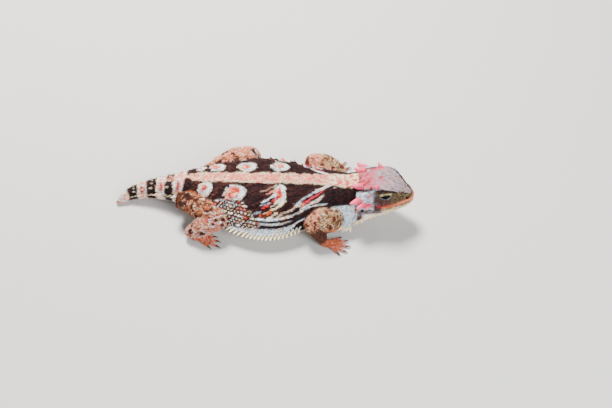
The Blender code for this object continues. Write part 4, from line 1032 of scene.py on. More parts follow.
def paint_head(coat, places):
    x, t = places.x, places.t
    on = smooth_step(35.4, 36.0, x)
    on = on * np.where((t > 0.38) & (x < 39), smooth_step(36.4, 37.2, x), 1)
    coat.speckle([BLUE_GREY * 0.58, STRIPE_PALE * 0.37, BLUE_GREY * 0.62, ASH * 0.54, BLUE_GREY * 0.48,
                  BELLY * 0.42], on, 1.4, 81, 0.3)
    coat.wash(ROSE * 0.31 + BLUE_GREY * 0.26, on * (t < 0.3) * 0.22)
    above = np.interp(x, (36, 39, 41, 42.5), (0.17, 0.175, 0.21, 0.25)) - t
    plate = on * inside(x - 43.0, 0.6) * inside(above * 30)
    coat.speckle([ASH * 0.9, BLUE_GREY * 0.8, FLAP_GREY * 0.9, ASH * 0.75, BLUE_GREY * 0.55], plate, 1.4,
                 88, 0.3)
    top = on * (t < 0.2)
    ragged = (clouds(places.points, 1.4, 82, 2) - 0.5) * 0.9
    # Rosy washes and blots on the crown, and an orange fleck between the eyes.
    blush = top * inside(x - 44.5, 2.0) * smooth_step(0.42, 0.6, clouds(places.points, 2.6, 83))
    coat.wash(ROSE * 0.38 + BLUE_GREY * 0.2, blush)
    for cx, cy, half_x, half_y in CROWN_BLOTS:
        blot = np.hypot((x - cx) / half_x, (places.y - cy) / half_y) - 1 + ragged
        coat.speckle([ROSE * 0.6, CRIMSON * 0.35 + UMBER * 0.2, ROSE * 0.45 + CRIMSON * 0.2,
                      ROSE * 0.4 + BLUE_GREY * 0.2], top * inside(blot, 0.25) * 0.85, 1.5, 89, 0.2)
    coat.wash(ORANGE * 0.5 + ASH * 0.5, top * bell(x, 48.6, 0.8) * bell(places.y, -1.0, 0.8) * 0.8)
    # The dark mask under the crown's edge.
    edge = np.interp(x, *zip(*CROWN_EDGE))
    cheek = on * smooth_step(42.9, 43.6, x)
    mask = cheek * np.maximum(inside((edge - t) * 30), smooth_step(ROSTRAL_X, ROSTRAL_X + 0.5, x))
    coat.speckle([MASK_BROWN, MASK_BROWN * 0.7, BLUE_GREY * 0.25, MASK_BROWN * 0.85], mask, 1.4, 84)
    coat.speckle([MASK_BROWN, OLIVE * 0.25, MASK_BROWN * 0.8, OLIVE * 0.2], mask * smooth_step(48, 51, x),
                 1.4, 84)
    line, _ = from_line(x, t * 30, [(a, b * 30) for a, b in TEMPLE_LINE])
    coat.wash(DARK_LINE, inside(line - 0.5, 0.25) * (x > 33.5))
    coat.wash(DARK_LINE, bell(t, edge + 0.016, 0.016) * on * smooth_step(42.0, 43.0, x))
    # Lips and jaw.
    mouth = above_mouth(places)
    front = (t > 0.15) | (x > ROSTRAL_X)
    lip = bell(mouth, np.interp(x, (46, 50, 55, 57.3), (0.7, 0.9, 1.3, 0.6)), 0.65)
    lip = lip * smooth_step(44.5, 47.5, x) * front
    coat.wash(SALMON * 0.85 + STRIPE_PALE * 0.15, lip)
    coat.wash(SALMON * 0.7 + STRIPE_PALE * 0.3, lip * smooth_step(51, 54, x) * 0.8)
    coat.wash(CRIMSON * 0.5, bell(mouth, 1.5, 0.5) * bell(x, 47.0, 2.6) * (t > 0.3) * 0.6)
    jaw = on * smooth_step(0.05, -0.2, mouth) * ((t > 0.35) | (x > ROSTRAL_X))
    coat.speckle([MASK_BROWN * 0.6 + BLUE_GREY * 0.2, BLUE_GREY * 0.6, MASK_BROWN], jaw, 1.5, 85)
    coat.speckle([OLIVE, OLIVE, STRIPE_PALE, OLIVE * 0.8 + ASH * 0.2], jaw * smooth_step(45.5, 47.5, x),
                 1.4, 86)
    pale = jaw * smooth_step(-1.6, -2.4, mouth)
    coat.speckle([CREAM, CHALK, ASH], pale * smooth_step(38.5, 40.0, x), 1.4, 87)
    coat.wash(CREAM, jaw * smooth_step(0.78, 0.9, t) * 0.7)
    # Painted shade along the groove between the lips.
    cut = smooth_step(MOUTH_CORNER_X - 0.4, MOUTH_CORNER_X + 0.5, x) * ((t > 0.3) | (x > ROSTRAL_X))
    coat.wash(DARK_LINE, bell(mouth, 0, 0.2) * cut)
    spot = np.hypot(x - 41.1, (t - 0.312) * 30)
    coat.wash(CRIMSON * 0.7 + ROSE * 0.3, on * inside(spot - 0.7, 0.25) * 0.9)
    coat.wash(MASK_BROWN, on * bell(x, 42.9, 0.5) * (t > 0.28) * (t < 0.46) * 0.7)
    corner = inside(np.hypot(x - 44.8, mouth - 1.7) - 0.7, 0.4)
    coat.wash(ROSE * 0.5, on * corner * (t > 0.3) * 0.8)
    for side, _ in SIDES:
        # Painted shade in the nostril's carved pit.
        coat.wash(DARK_LINE * 0.6, inside(nostril_gap(places.points, side) - NOSTRIL_RADIUS - 0.1, 0.15))
        # Painted shade in the ear's carved pit.
        coat.wash(NIGHT, inside(ear_gap(places.points, side) - 0.7, 0.2) * 0.9)
        u, v, w, ring = eye_places(places.points, side)
        pocket = (w > -0.5) * (np.hypot(u, v) < 3)
        coat.wash(MASK_BROWN * 0.6, (w > 0) * inside(ring - 2.0, 0.4) * 0.6)
        coat.wash(LID_YELLOW, (w > 0) * bell(ring, 1.3, 0.3) * smooth_step(0.1, 0.5, v))
        coat.wash(ASH * 0.8, (w > 0) * bell(ring, 1.45, 0.14) * smooth_step(0.0, -0.4, v) * 0.8)
        # Painted shade in the eye's pocket: the lid's lower inner rim is painted dark, and the opening
        # behind the eyeball darker still.
        coat.wash(NIGHT, pocket * inside(ring - 1.24, 0.05) * smooth_step(0.1, -0.1, v))
        coat.wash(NIGHT * 0.6, pocket * inside(ring - 0.98, 0.05))


def paint_limbs(coat, places):
    """The legs: pink and cream with dark dots above, brown below, orange along the lower edge."""
    share, along = places.limb_share, places.along
    fore = np.isin(places.limb, [n for n, limb in enumerate(LIMBS) if limb.kind == "fore"])
    hind, near = ~fore, places.points[:, 1] < 0
    other = Coat(places.points, LEG_PINK)
    height = np.clip(places.spoke[:, 2] / np.maximum(np.linalg.norm(places.spoke, axis=1), 1e-6), -1, 1)
    other.speckle([LEG_PINK * 0.8, TAN, LEG_PINK * 0.7, TAN * 0.8, LEG_PINK, LEG_BROWN], np.ones(len(fore)),
                  1.6, 91)
    front = fore * smooth_step(-0.2, 1.2, places.spoke @ np.array((1.0, 0.0, 0.2)))
    other.speckle([TAN * 0.8, OLIVE * 0.4, LEG_BROWN, CREAM * 0.7, LEG_BROWN * 0.6],
                  front * (along < 1.1) * 0.9, 1.0, 92)
    other.speckle([LEG_PINK * 0.75, TAN * 0.85, LEG_PINK * 0.55, STRIPE_PALE * 0.85,
                   CRIMSON * 0.45 + LEG_PINK * 0.2, TAN * 0.65, STRIPE_PINK * 0.75], hind, 2.0, 93)
    # Thighs, and the spots of the hind legs.
    thigh = hind * smooth_step(1.05, 0.9, along)
    other.speckle([LEG_ORANGE * 0.55, TAN * 0.6, LEG_BROWN * 0.8, LEG_ORANGE * 0.5 + CRIMSON * 0.2,
                   STRIPE_PALE * 0.8, LEG_BROWN * 0.6], thigh * near * 0.95, 1.9, 94)
    # Painted shade where the near thigh meets the body.
    other.wash(LEG_BROWN * 0.3, near * hind * smooth_step(0.4, 0.1, along) * 0.7)
    other.speckle([LEG_PINK, LEG_ORANGE, LEG_BROWN, TAN, LEG_PINK * 0.9, LEG_ORANGE * 0.7],
                  thigh * ~near * 0.85, 1.7, 99)
    spots = clouds(places.points, 2.1, 95, 2)
    other.wash(LEG_BROWN * 0.35, smooth_step(0.59, 0.63, spots) * hind)
    other.wash(CHALK, bell(spots, 0.545, 0.02) * hind * (along > 0.8) * 0.8)
    # Dots and the dark lower edge of the forelegs.
    dots = clouds(places.points, 1.25, 96, 2)
    other.wash(LEG_BROWN * 0.4 + CRIMSON * 0.1, smooth_step(0.60, 0.65, dots) * fore * (along < 1.2))
    lower = fore * smooth_step(-0.1, -0.55, height) * (along < 1.3) + fore * smooth_step(1.0, 1.3, along)
    other.speckle([LEG_BROWN * 0.5, LEG_BROWN * 0.3, UMBER * 0.5, LEG_BROWN * 0.8],
                  np.clip(lower, 0, 1) * 0.95, 1.8, 97)
    orange = fore * smooth_step(-0.05, -0.35, height) * smooth_step(-0.9, -0.6, height) * front
    other.wash(LEG_ORANGE, orange * (along < 1.3) * 0.9)
    # Painted shade in the hollow behind the near knee.
    pit = np.linalg.norm(places.points - in_body(-22.5, -13.2, 9.5)[0], axis=1)
    other.wash(LEG_BROWN * 0.4, inside(pit - 1.5, 0.5))
    other.wash(BELLY * 0.9, smooth_step(-0.5, -0.8, height) * hind * 0.8)
    # Hands and feet, with darker rings on the toes.
    other.speckle([HAND_PINK, LEG_ORANGE, STRIPE_PINK, HAND_PINK * 0.7],
                  smooth_step(1.9, 2.1, along) * 0.95, 1.6, 98)
    rings = np.sin(along * 2 * math.pi * 2.5)
    other.wash(LEG_BROWN, (along > 2) * smooth_step(0.5, 0.9, rings) * 0.5)
    coat.colour = coat.colour * (1 - share[:, None]) + other.colour * share[:, None]


def hide_colours(places):
    coat = Coat(places.points, CHOCOLATE)
    paint_trunk(coat, places)
    paint_tail(coat, places)
    paint_head(coat, places)
    paint_limbs(coat, places)
    return coat.colour


# The unwrap's edge and span, where the trunk starts in it and how tall it is, and the pitch and height
# of the legs' strips.
FLAT_EDGE, FLAT_SPAN = 0.02, 0.96
TRUNK_FROM, TRUNK_TALL = 0.34, 0.64
STRIP_PITCH, STRIP_TALL = 0.075, 0.065


def unwrapped(places):
    """The skin laid flat: the trunk above, and a strip for each leg below."""
    u = FLAT_EDGE + FLAT_SPAN * (places.x - TAIL_TIP) / (SNOUT_TIP - TAIL_TIP)
    v = TRUNK_FROM + TRUNK_TALL * places.around
    turn = np.arctan2(places.spoke[:, 2], places.spoke[:, 1]) / (2 * math.pi) + 0.5
    on_limb = places.limb_share > 0.5
    strip = FLAT_EDGE + STRIP_PITCH * places.limb + STRIP_TALL * turn
    length = FLAT_EDGE + FLAT_SPAN * np.clip(places.along / 4, 0, 1)
    return np.stack([np.where(on_limb, length, u), np.where(on_limb, strip, v)], axis=1)


# Node trees, whose maths is written as sums of sockets.

class Socket:
    """A node's output, which takes part in sums as a number does."""

    def __init__(self, tree, link):
        self.tree, self.link = tree, link

    def sum(self, operation, other, turned=False):
        a, b = (other, self) if turned else (self, other)
        return self.tree.node("ShaderNodeMath", {"operation": operation}, {0: a, 1: b})

    def __add__(self, other):
        return self.sum("ADD", other)

    __radd__ = __add__

    def __mul__(self, other):
        return self.sum("MULTIPLY", other)

    __rmul__ = __mul__

    def __sub__(self, other):
        return self.sum("SUBTRACT", other)

    def __rsub__(self, other):
        return self.sum("SUBTRACT", other, True)

    def __truediv__(self, other):
        return self.sum("DIVIDE", other)

    def __rtruediv__(self, other):
        return self.sum("DIVIDE", other, True)

    def __pow__(self, other):
        return self.sum("POWER", other)


class Tree:
    """A shader's or a geometry's node tree."""

    def __init__(self, tree):
        self.tree = tree

    def node(self, kind, settings=None, sockets=None, out=0):
        """Adds a node, and gives its output of that name or number, or the node if out is None."""
        node = self.tree.nodes.new(kind)
        for key, value in (settings or {}).items():
            if key == "stops":
                self.set_stops(node.color_ramp, value)
            else:
                setattr(node, key, value)
        for key, value in (sockets or {}).items():
            socket = self.pick(node.inputs, key)
            if isinstance(value, Socket):
                self.tree.links.new(value.link, socket)
            else:
                socket.default_value = value
        return node if out is None else Socket(self, self.pick(node.outputs, out))

    @staticmethod
    def pick(sockets, key):
        if isinstance(key, int):
            return [s for s in sockets if s.enabled][key]
        return next(s for s in sockets if s.name == key and s.enabled)

    @staticmethod
    def set_stops(ramp, stops):
        while len(ramp.elements) < len(stops):
            ramp.elements.new(1.0)
        for element, (place, colour) in zip(ramp.elements, stops):
            element.position, element.color = place, (*colour, 1.0)

    def vector(self, operation, *values):
        return self.node("ShaderNodeVectorMath", {"operation": operation}, dict(enumerate(values)))

    def joined(self, x, y, z):
        return self.node("ShaderNodeCombineXYZ", {}, {0: x, 1: y, 2: z})

    def attribute(self, name, output="Fac"):
        return self.node("ShaderNodeAttribute", {"attribute_name": name}, {}, output)

    def textured(self, kind, sockets, output=0):
        """A texture over the object's own places."""
        place = self.node("ShaderNodeTexCoord", {}, {}, "Object")
        return self.node(kind, {}, {"Vector": place, **sockets}, output)

    def noise(self, scale, detail, roughness=0.5):
        sockets = {"Scale": scale, "Detail": detail, "Roughness": roughness}
        return self.textured("ShaderNodeTexNoise", sockets)

    def ramp(self, stops, value):
        return self.node("ShaderNodeValToRGB", {"stops": stops}, {0: value})

    def bump(self, strength, distance, height):
        sockets = {"Strength": strength, "Distance": distance, "Height": height}
        return self.node("ShaderNodeBump", {}, sockets)

    def surface(self, sockets):
        shader = self.node("ShaderNodeBsdfPrincipled", {}, sockets)
        self.node("ShaderNodeOutputMaterial", {}, {"Surface": shader}, None)


class Growth(Tree):
    """A geometry tree with named inputs that ends in realized pieces with their material."""

    def __init__(self, name, inputs):
        super().__init__(bpy.data.node_groups.new(name, "GeometryNodeTree"))
        face = self.tree.interface
        face.new_socket("Geometry", in_out="INPUT", socket_type="NodeSocketGeometry")
        face.new_socket("Geometry", in_out="OUTPUT", socket_type="NodeSocketGeometry")
        for label, value in inputs.items():
            kind = {str: "String", int: "Int", float: "Float"}.get(type(value), "Material")
            socket = face.new_socket(label, in_out="INPUT", socket_type="NodeSocket" + kind)
            if kind != "Material":
                socket.default_value = value
        self.entry = self.tree.nodes.new("NodeGroupInput")

    def given(self, label):
        return Socket(self, self.pick(self.entry.outputs, label))

    def read(self, name, kind="FLOAT"):
        return self.node("GeometryNodeInputNamedAttribute", {"data_type": kind}, {"Name": name},
                         "Attribute")

    def write(self, geometry, name, value, kind="FLOAT", domain="POINT"):
        return self.node("GeometryNodeStoreNamedAttribute", {"data_type": kind, "domain": domain},
                         {"Geometry": geometry, "Name": name, "Value": value})

    def chance(self, low, high, seed):
        return self.node("FunctionNodeRandomValue", {"data_type": "FLOAT"},
                         {"Min": low, "Max": high, "Seed": seed}, "Value")

    def facing(self, way):
        """Turned so that Z runs along the way and X along the skin's lie."""
        upright = self.node("FunctionNodeAlignRotationToVector", {"axis": "Z"}, {"Vector": way})
        return self.node("FunctionNodeAlignRotationToVector", {"axis": "X", "pivot_axis": "Z"},
                         {"Rotation": upright, "Vector": self.read("lie", "FLOAT_VECTOR")})

    def turned(self, rotation, axis, angle):
        turn = self.node("FunctionNodeAxisAngleToRotation", {}, {"Axis": axis, "Angle": angle})
        return self.node("FunctionNodeRotateRotation", {"rotation_space": "LOCAL"},
                         {"Rotation": rotation, "Rotate By": turn})

    def spiked_cone(self, lean):
        """A bulging cone one unit high that leans along +X, with its height and its place kept."""
        cone = self.node("GeometryNodeMeshCone", {"fill_type": "NGON"},
                         {"Vertices": self.given("Sides"), "Side Segments": self.given("Rings"),
                          "Radius Top": self.given("Top"), "Radius Bottom": 1.0, "Depth": 1.0}, "Mesh")
        place = self.node("GeometryNodeInputPosition")
        parts = self.node("ShaderNodeSeparateXYZ", {}, {0: place}, None)
        x, y, z = (Socket(self, parts.outputs[k]) for k in range(3))
        # The height on the cone, kept as rise, is what the finish turns into painted shade at the foot and
        # a painted highlight at the top.
        kept = self.write(cone, "rise", z)
        kept = self.write(kept, "patch", self.joined(x, y, 0.0), "FLOAT_VECTOR")
        swell = z * (1.0 - z) * self.given("Bulge")
        offset = self.joined(x * swell + z * z * lean, y * swell, 0.0)
        return self.node("GeometryNodeSetPosition", {}, {"Geometry": kept, "Offset": offset})

    def finish(self, points, shape, rotation, scale):
        """Puts the shape on every point, makes it real, and gives each piece its patch of the unwrap."""
        placed = self.node("GeometryNodeInstanceOnPoints", {},
                           {"Points": points, "Instance": shape, "Rotation": rotation, "Scale": scale})
        real = self.node("GeometryNodeRealizeInstances", {}, {0: placed})
        spread = self.vector("SCALE", self.read("patch", "FLOAT_VECTOR"), PATCH_HALF)
        flat = self.vector("ADD", self.read("unwrap", "FLOAT_VECTOR"), spread)
        real = self.write(real, "OFBake", flat, "FLOAT2", "CORNER")
        real = self.node("GeometryNodeSetShadeSmooth", {}, {"Geometry": real, "Shade Smooth": True})
        real = self.node("GeometryNodeSetMaterial", {},
                         {"Geometry": real, "Material": self.given("Material")})
        self.node("NodeGroupOutput", {}, {"Geometry": real}, None)


# Half the width of one scale's patch of the unwrap, and the attributes that only the trees read.
PATCH_HALF = 0.0015
TREE_ATTRIBUTES = ("patch", "unwrap", "lie", "measure", "way", "girth", "head", "face", "back", "neck",
                   "belly", "tail", "leg", "toe")


def scale_growth():
    """Scales spread over the skin at an even spacing, lying along its lie."""
    tree = Growth("scales", {
        "Zone": "", "Spacing": 0.0006, "Seed": 1, "Sides": 6, "Rings": 2, "Width": 0.0008,
        "Length": 0.0009, "Height": 0.0003, "Top": 0.4, "Lean": 0.3, "Tilt": 0.1, "Sink": 0.3,
        "Bulge": 0.9, "Material": None})
    given, chance = tree.given, tree.chance
    chosen = tree.node("FunctionNodeCompare", {"data_type": "FLOAT", "operation": "GREATER_THAN"},
                       {"A": tree.read(given("Zone")), "B": 0.5})
    spread = tree.node("GeometryNodeDistributePointsOnFaces", {"distribute_method": "POISSON"},
                       {"Mesh": given("Geometry"), "Selection": chosen, "Distance Min": given("Spacing"),
                        "Density Max": 8.0 / (given("Spacing") ** 2), "Seed": given("Seed")}, None)
    points, normal = (Socket(tree, tree.pick(spread.outputs, name)) for name in ("Points", "Normal"))
    points = tree.write(points, "chance", chance(0.0, 1.0, 5))
    rotation = tree.turned(tree.facing(normal), (0.0, 0.0, 1.0), chance(-0.35, 0.35, 8))
    rotation = tree.turned(rotation, (0.0, 1.0, 0.0), 0.0 - given("Tilt") * chance(0.4, 1.4, 7))
    sunk = tree.node("GeometryNodeSetPosition", {}, {
        "Geometry": tree.spiked_cone(given("Lean")), "Offset": tree.joined(0.0, 0.0, 0.0 - given("Sink"))})
    size = tree.read("measure") * chance(0.82, 1.18, 3)
    scale = tree.joined(given("Length") * size * chance(0.42, 0.58, 4),
                        given("Width") * size * chance(0.42, 0.58, 6), given("Height") * size)
    tree.finish(points, sunk, rotation, scale)
    return tree.tree


def spine_growth():
    """Spines on given points, each along its own way and of its own girth."""
    tree = Growth("spines", {
        "Sides": 8, "Rings": 5, "Top": 0.06, "Bend": 0.35, "Bulge": 0.5, "Material": None})
    points = tree.node("GeometryNodeMeshToPoints", {}, {"Mesh": tree.given("Geometry")})
    points = tree.write(points, "chance", tree.chance(0.0, 1.0, 9))
    tree.finish(points, tree.spiked_cone(tree.given("Bend")), tree.facing(tree.read("way", "FLOAT_VECTOR")),
                tree.read("girth", "FLOAT_VECTOR"))
    return tree.tree


def drop_helpers(mesh):
    """Removes the attributes that only the trees read."""
    for name in TREE_ATTRIBUTES:
        attribute = mesh.attributes.get(name)
        if attribute:
            mesh.attributes.remove(attribute)


def grown(name, mesh, growth, settings):
    """A piece grown by a tree from a mesh, as a plain mesh of its own."""
    obj = placed(name, mesh)
    modifier = obj.modifiers.new("growth", "NODES")
    modifier.node_group = growth
    for item in growth.interface.items_tree:
        if item.in_out == "INPUT" and item.name in settings:
            modifier[item.identifier] = settings[item.name]
    graph = bpy.context.evaluated_depsgraph_get()
    made = bpy.data.meshes.new_from_object(obj.evaluated_get(graph), preserve_all_data_layers=True,
                                           depsgraph=graph)
    obj.modifiers.clear()
    made.name = name
    obj.data = made
    places = read_vectors(made.vertices, "co", 3)
    places[:, 2] = np.maximum(places[:, 2], 0.0)
    made.vertices.foreach_set("co", places.astype(np.float32).ravel())
    drop_helpers(made)
    return obj


# Finishes.

def new_material(name):
    material = bpy.data.materials.new(name)
    material.use_nodes = True
    material.node_tree.nodes.clear()
    return material, Tree(material.node_tree)


def hide_finish(name, low, high, bump, shine):
    """Dry scales: the skin's own colours, painted darker between the scales and at their feet as shade, and
    paler on their tops as a painted highlight.
    """
    material, tree = new_material(name)
    grime = tree.noise(900.0, 3.0, 0.6)
    # Painted shade and highlight: the value runs from low at a scale's foot to high at its top.
    value = low + (high - low) * tree.attribute("rise") + (tree.attribute("chance") - 0.5) * 0.28
    value = value + (grime - 0.5) * 0.35
    grey = tree.node("ShaderNodeCombineColor", {}, {0: value, 1: value, 2: value})
    shaded = tree.node("ShaderNodeMix", {"data_type": "RGBA", "blend_type": "MULTIPLY"},
                       {"Factor": 1.0, "A": tree.attribute("hide", "Color"), "B": grey}, "Result")
    pores = tree.textured("ShaderNodeTexVoronoi", {"Scale": 3600.0}, "Distance")
    tree.surface({"Base Color": shaded, "Roughness": 0.66 + (grime - 0.5) * 0.3,
                  "Normal": tree.bump(bump, 0.00008, pores + grime), "Specular IOR Level": shine})
    return material


def eye_finish():
    """A wet, nearly black eye with a thin brown iris."""
    material, tree = new_material("wet eye")
    threads = tree.noise(2600.0, 3.0)
    colour = tree.ramp((
        (0.0, (0.004, 0.003, 0.003)), (0.46, (0.004, 0.003, 0.003)), (0.50, (0.07, 0.032, 0.014)),
        (0.56, (0.030, 0.015, 0.010)), (0.62, (0.010, 0.007, 0.006)), (1.0, (0.08, 0.06, 0.05)),
    ), tree.attribute("gaze") + (threads - 0.5) * 0.06)
    tree.surface({"Base Color": colour, "Roughness": 0.08 + (threads - 0.5) * 0.04, "Coat Weight": 0.06,
                  "Coat Roughness": 0.03, "Specular IOR Level": 0.10})
    return material


def horn_finish():
    """Pink horn with a fine grain, redder at its root and paler at its tip."""
    material, tree = new_material("pink horn")
    grain = tree.noise(1100.0, 4.0, 0.6)
    colour = tree.ramp((
        (0.0, tuple(ROSE * 0.8)), (0.35, tuple(HORN_PINK)), (0.75, tuple(HORN_PINK)),
        (1.0, tuple(STRIPE_PINK)),
    ), tree.attribute("rise") + (grain - 0.5) * 0.6)
    tree.surface({"Base Color": colour, "Roughness": 0.55 + (grain - 0.5) * 0.3,
                  "Normal": tree.bump(0.8, 0.0002, grain), "Specular IOR Level": 0.3})
    return material


def claw_finish():
    material, tree = new_material("dark claw")
    grain = tree.noise(1500.0, 3.0)
    colour = tree.ramp((
        (0.0, tuple(UMBER)), (0.5, tuple(paint(70, 52, 44))), (1.0, tuple(paint(34, 28, 26))),
    ), tree.attribute("rise") + (grain - 0.5) * 0.3)
    tree.surface({"Base Color": colour, "Roughness": 0.3 + grain * 0.2})
    return material


def floor_finish():
    material, tree = new_material("pale floor")
    value = 0.60 + tree.noise(6.0, 2.0) * 0.03
    colour = tree.node("ShaderNodeCombineColor", {}, {0: value, 1: value * 0.99, 2: value * 0.97})
    tree.surface({"Base Color": colour, "Roughness": 0.9})
    return material


# The pieces.

def opaque(colours):
    """The colours with a full alpha each."""
    return np.concatenate([colours, np.ones((len(colours), 1))], axis=1)


def make_skin(form, places, colours):
    # The skin carries no rise, so its finish paints all of it at the low value: painted shade where it
    # shows between the scales.
    obj = piece_from("skin", form.points, form.faces,
                     hide_finish("hide between scales", 0.42, 0.9, 0.6, 0.04))
    mesh = obj.data
    store(mesh, "hide", "FLOAT_COLOR", opaque(colours))
    store(mesh, "unwrap", "FLOAT2", unwrapped(places))
    share = smooth_step(0.3, 0.7, places.limb_share)[:, None]
    droop = np.zeros((len(share), 3))
    droop[:, 2] = -0.35 * smooth_step(0.15, 0.45, places.t)
    store(mesh, "lie", "FLOAT_VECTOR", unit((droop - places.ahead) * (1 - share) + places.limb_way * share))
    return obj


def brighten_bare_skin(mesh, places, colours):
    """Lightens the skin where it shows between the belly's scales and on the upper lids, taking back most
    of the painted shade that the skin's finish lays on it.
    """
    lift = 1 + 0.9 * smooth_step(0.54, 0.6, places.t) * (1 - places.limb_share)
    for side, _ in SIDES:
        _, v, w, ring = eye_places(places.points, side)
        lift += 1.2 * (w > 0) * inside(ring - 1.4, 0.1) * smooth_step(0.1, 0.4, v)
    lighter = opaque(np.minimum(colours * lift[:, None], 1))
    mesh.attributes["hide"].data.foreach_set("color", lighter.astype(np.float32).ravel())


# Where the scales of the head, neck and trunk begin along the body, where the belly's begin around it, and
# where those of the toes begin along a leg.
HEAD_SCALES_X, NECK_SCALES_X, TRUNK_SCALES_X = 36.0, 26.0, -31.0
BELLY_T, THROAT_T = 0.53, 0.8
TOE_SCALES_ALONG = 2.15
# Where the face's scales start on the cheek and on the snout, and how far below the brow's ridge.
CHEEK_X, SNOUT_X, UNDER_BROW = 42.5, 55.6, 0.4
# What stays bare: round a lid in its openings, past a nostril's radius, round an ear in its own
# lengths, and along the mouth's line.
LID_BARE, NOSTRIL_BARE, EAR_BARE, MOUTH_BARE = 1.25, 0.22, 0.75, 0.2


def store_zones(mesh, places):
    """Where each kind of scale grows, and how large it is there."""
    x, t, along = places.x, places.t, places.along
    leg = places.limb_share > 0.5
    trunk_zone, mouth = ~leg, above_mouth(places)
    head, bare = trunk_zone & (x > HEAD_SCALES_X), np.zeros(len(x), bool)
    for side, _ in SIDES:
        _, _, w, ring = eye_places(places.points, side)
        bare |= (w > 0) & (ring < LID_BARE)
        bare |= nostril_gap(places.points, side) < NOSTRIL_RADIUS + NOSTRIL_BARE
        bare |= ear_gap(places.points, side) < EAR_BARE
    brow = rows_at(BODY, x)[:, 2] - UNDER_BROW
    face = head & (((places.z < brow) & (x > CHEEK_X)) | (mouth < 0.0) | (x > SNOUT_X))
    face &= ~bare & (np.abs(mouth) > MOUTH_BARE)
    zones = {
        "head": head & ~face & ~bare, "face": face,
        "neck": trunk_zone & (x > NECK_SCALES_X) & (x <= HEAD_SCALES_X) & (t < THROAT_T),
        "back": trunk_zone & (x > TRUNK_SCALES_X) & (x <= NECK_SCALES_X) & (t < BELLY_T),
        "belly": (trunk_zone & (x > TRUNK_SCALES_X) & (x <= HEAD_SCALES_X)
                  & (t >= np.where(x > NECK_SCALES_X, THROAT_T, BELLY_T))),
        "tail": trunk_zone & (x <= TRUNK_SCALES_X),
        "leg": leg & (along < TOE_SCALES_ALONG), "toe": leg & (along >= TOE_SCALES_ALONG),
    }
    for name, mask in zones.items():
        store(mesh, name, "FLOAT", mask.astype(float))
    measure = np.ones(len(x))
    for zone, place, keys, sizes in (
            ("tail", x, (TAIL_TIP, -50, TAIL_BASE), (0.78, 0.9, 1.1)),
            ("leg", along, (0, 0.6, 1.3, 2.1), (0.75, 1.1, 1.0, 0.7)),
            ("head", x, (36, 44, 52, 57), (1.1, 1.05, 0.85, 0.75))):
        measure *= np.where(zones[zone], np.interp(place, keys, sizes), 1)
    store(mesh, "measure", "FLOAT", measure)


# One coat of scales: zone, spacing, width, length and height in millimetres, rings, the top's
# share, lean, tilt in radians, how dark its foot is painted as shade, and the record's slot.
COATS = (
    ("back", 0.40, 0.62, 0.72, 0.20, 1, 0.50, 0.30, 0.14, 0.40, "back_hide"),
    ("neck", 0.38, 0.60, 0.66, 0.18, 1, 0.50, 0.30, 0.12, 0.50, "neck_hide"),
    ("belly", 0.62, 1.18, 1.30, 0.16, 1, 0.85, 0.10, 0.08, 0.85, "back_hide"),
    ("tail", 0.54, 0.86, 1.20, 0.36, 2, 0.18, 0.80, 0.16, 0.38, "tail_hide"),
    ("head", 0.54, 0.98, 1.02, 0.17, 2, 0.60, 0.12, 0.05, 0.72, "head_hide"),
    ("face", 0.36, 0.58, 0.62, 0.13, 1, 0.55, 0.15, 0.05, 0.60, "jaw_hide"),
    ("leg", 0.56, 0.88, 1.18, 0.34, 2, 0.20, 0.75, 0.18, 0.35, "leg_hide"),
    ("toe", 0.38, 0.58, 0.68, 0.20, 2, 0.38, 0.50, 0.10, 0.45, "leg_hide"),
)
FIRST_SEED = 11


def make_coats(skin):
    growth = scale_growth()
    made = []
    for n, (zone, spacing, width, length, height, rings, top, lean, tilt, foot, slot) in enumerate(COATS):
        # Each coat's finish paints shade at the scales' feet, down to the foot value, and a highlight on
        # their tops.
        obj = grown(f"{zone}_scales", skin.data, growth, {
            "Zone": zone, "Spacing": spacing * MM, "Seed": FIRST_SEED + n, "Rings": rings,
            "Width": width * MM, "Length": length * MM, "Height": height * MM, "Top": top, "Lean": lean,
            "Tilt": tilt, "Material": hide_finish(f"{zone} scales", foot, 1.18, 0.5, 0.2)})
        made.append(obj)
    return made


def nearest_index(points, wanted):
    """The index of the skin's point nearest to each wanted one."""
    tree = KDTree(len(points))
    for i, p in enumerate(points):
        tree.insert(p, i)
    tree.balance()
    return np.array([tree.find(p)[1] for p in wanted])


def stations(first, last, step):
    count = max(2, round((last - first) / step) + 1)
    return np.linspace(first, last, count)


def near_limb(points, margin):
    close = np.zeros(len(points), bool)
    for limb in LIMBS:
        for a, b in ((limb.root, limb.joint), (limb.joint, limb.end)):
            u = np.clip((points - a) @ (b - a) / ((b - a) @ (b - a)), 0, 1)[:, None]
            close |= np.linalg.norm(points - a - u * (b - a), axis=1) < limb.thickness[1] + margin
    return close


# How deep a spine's root lies under the coat, and the length that this adds to it.
SPINE_SINK, SPINE_FOOT = 0.35, 0.4


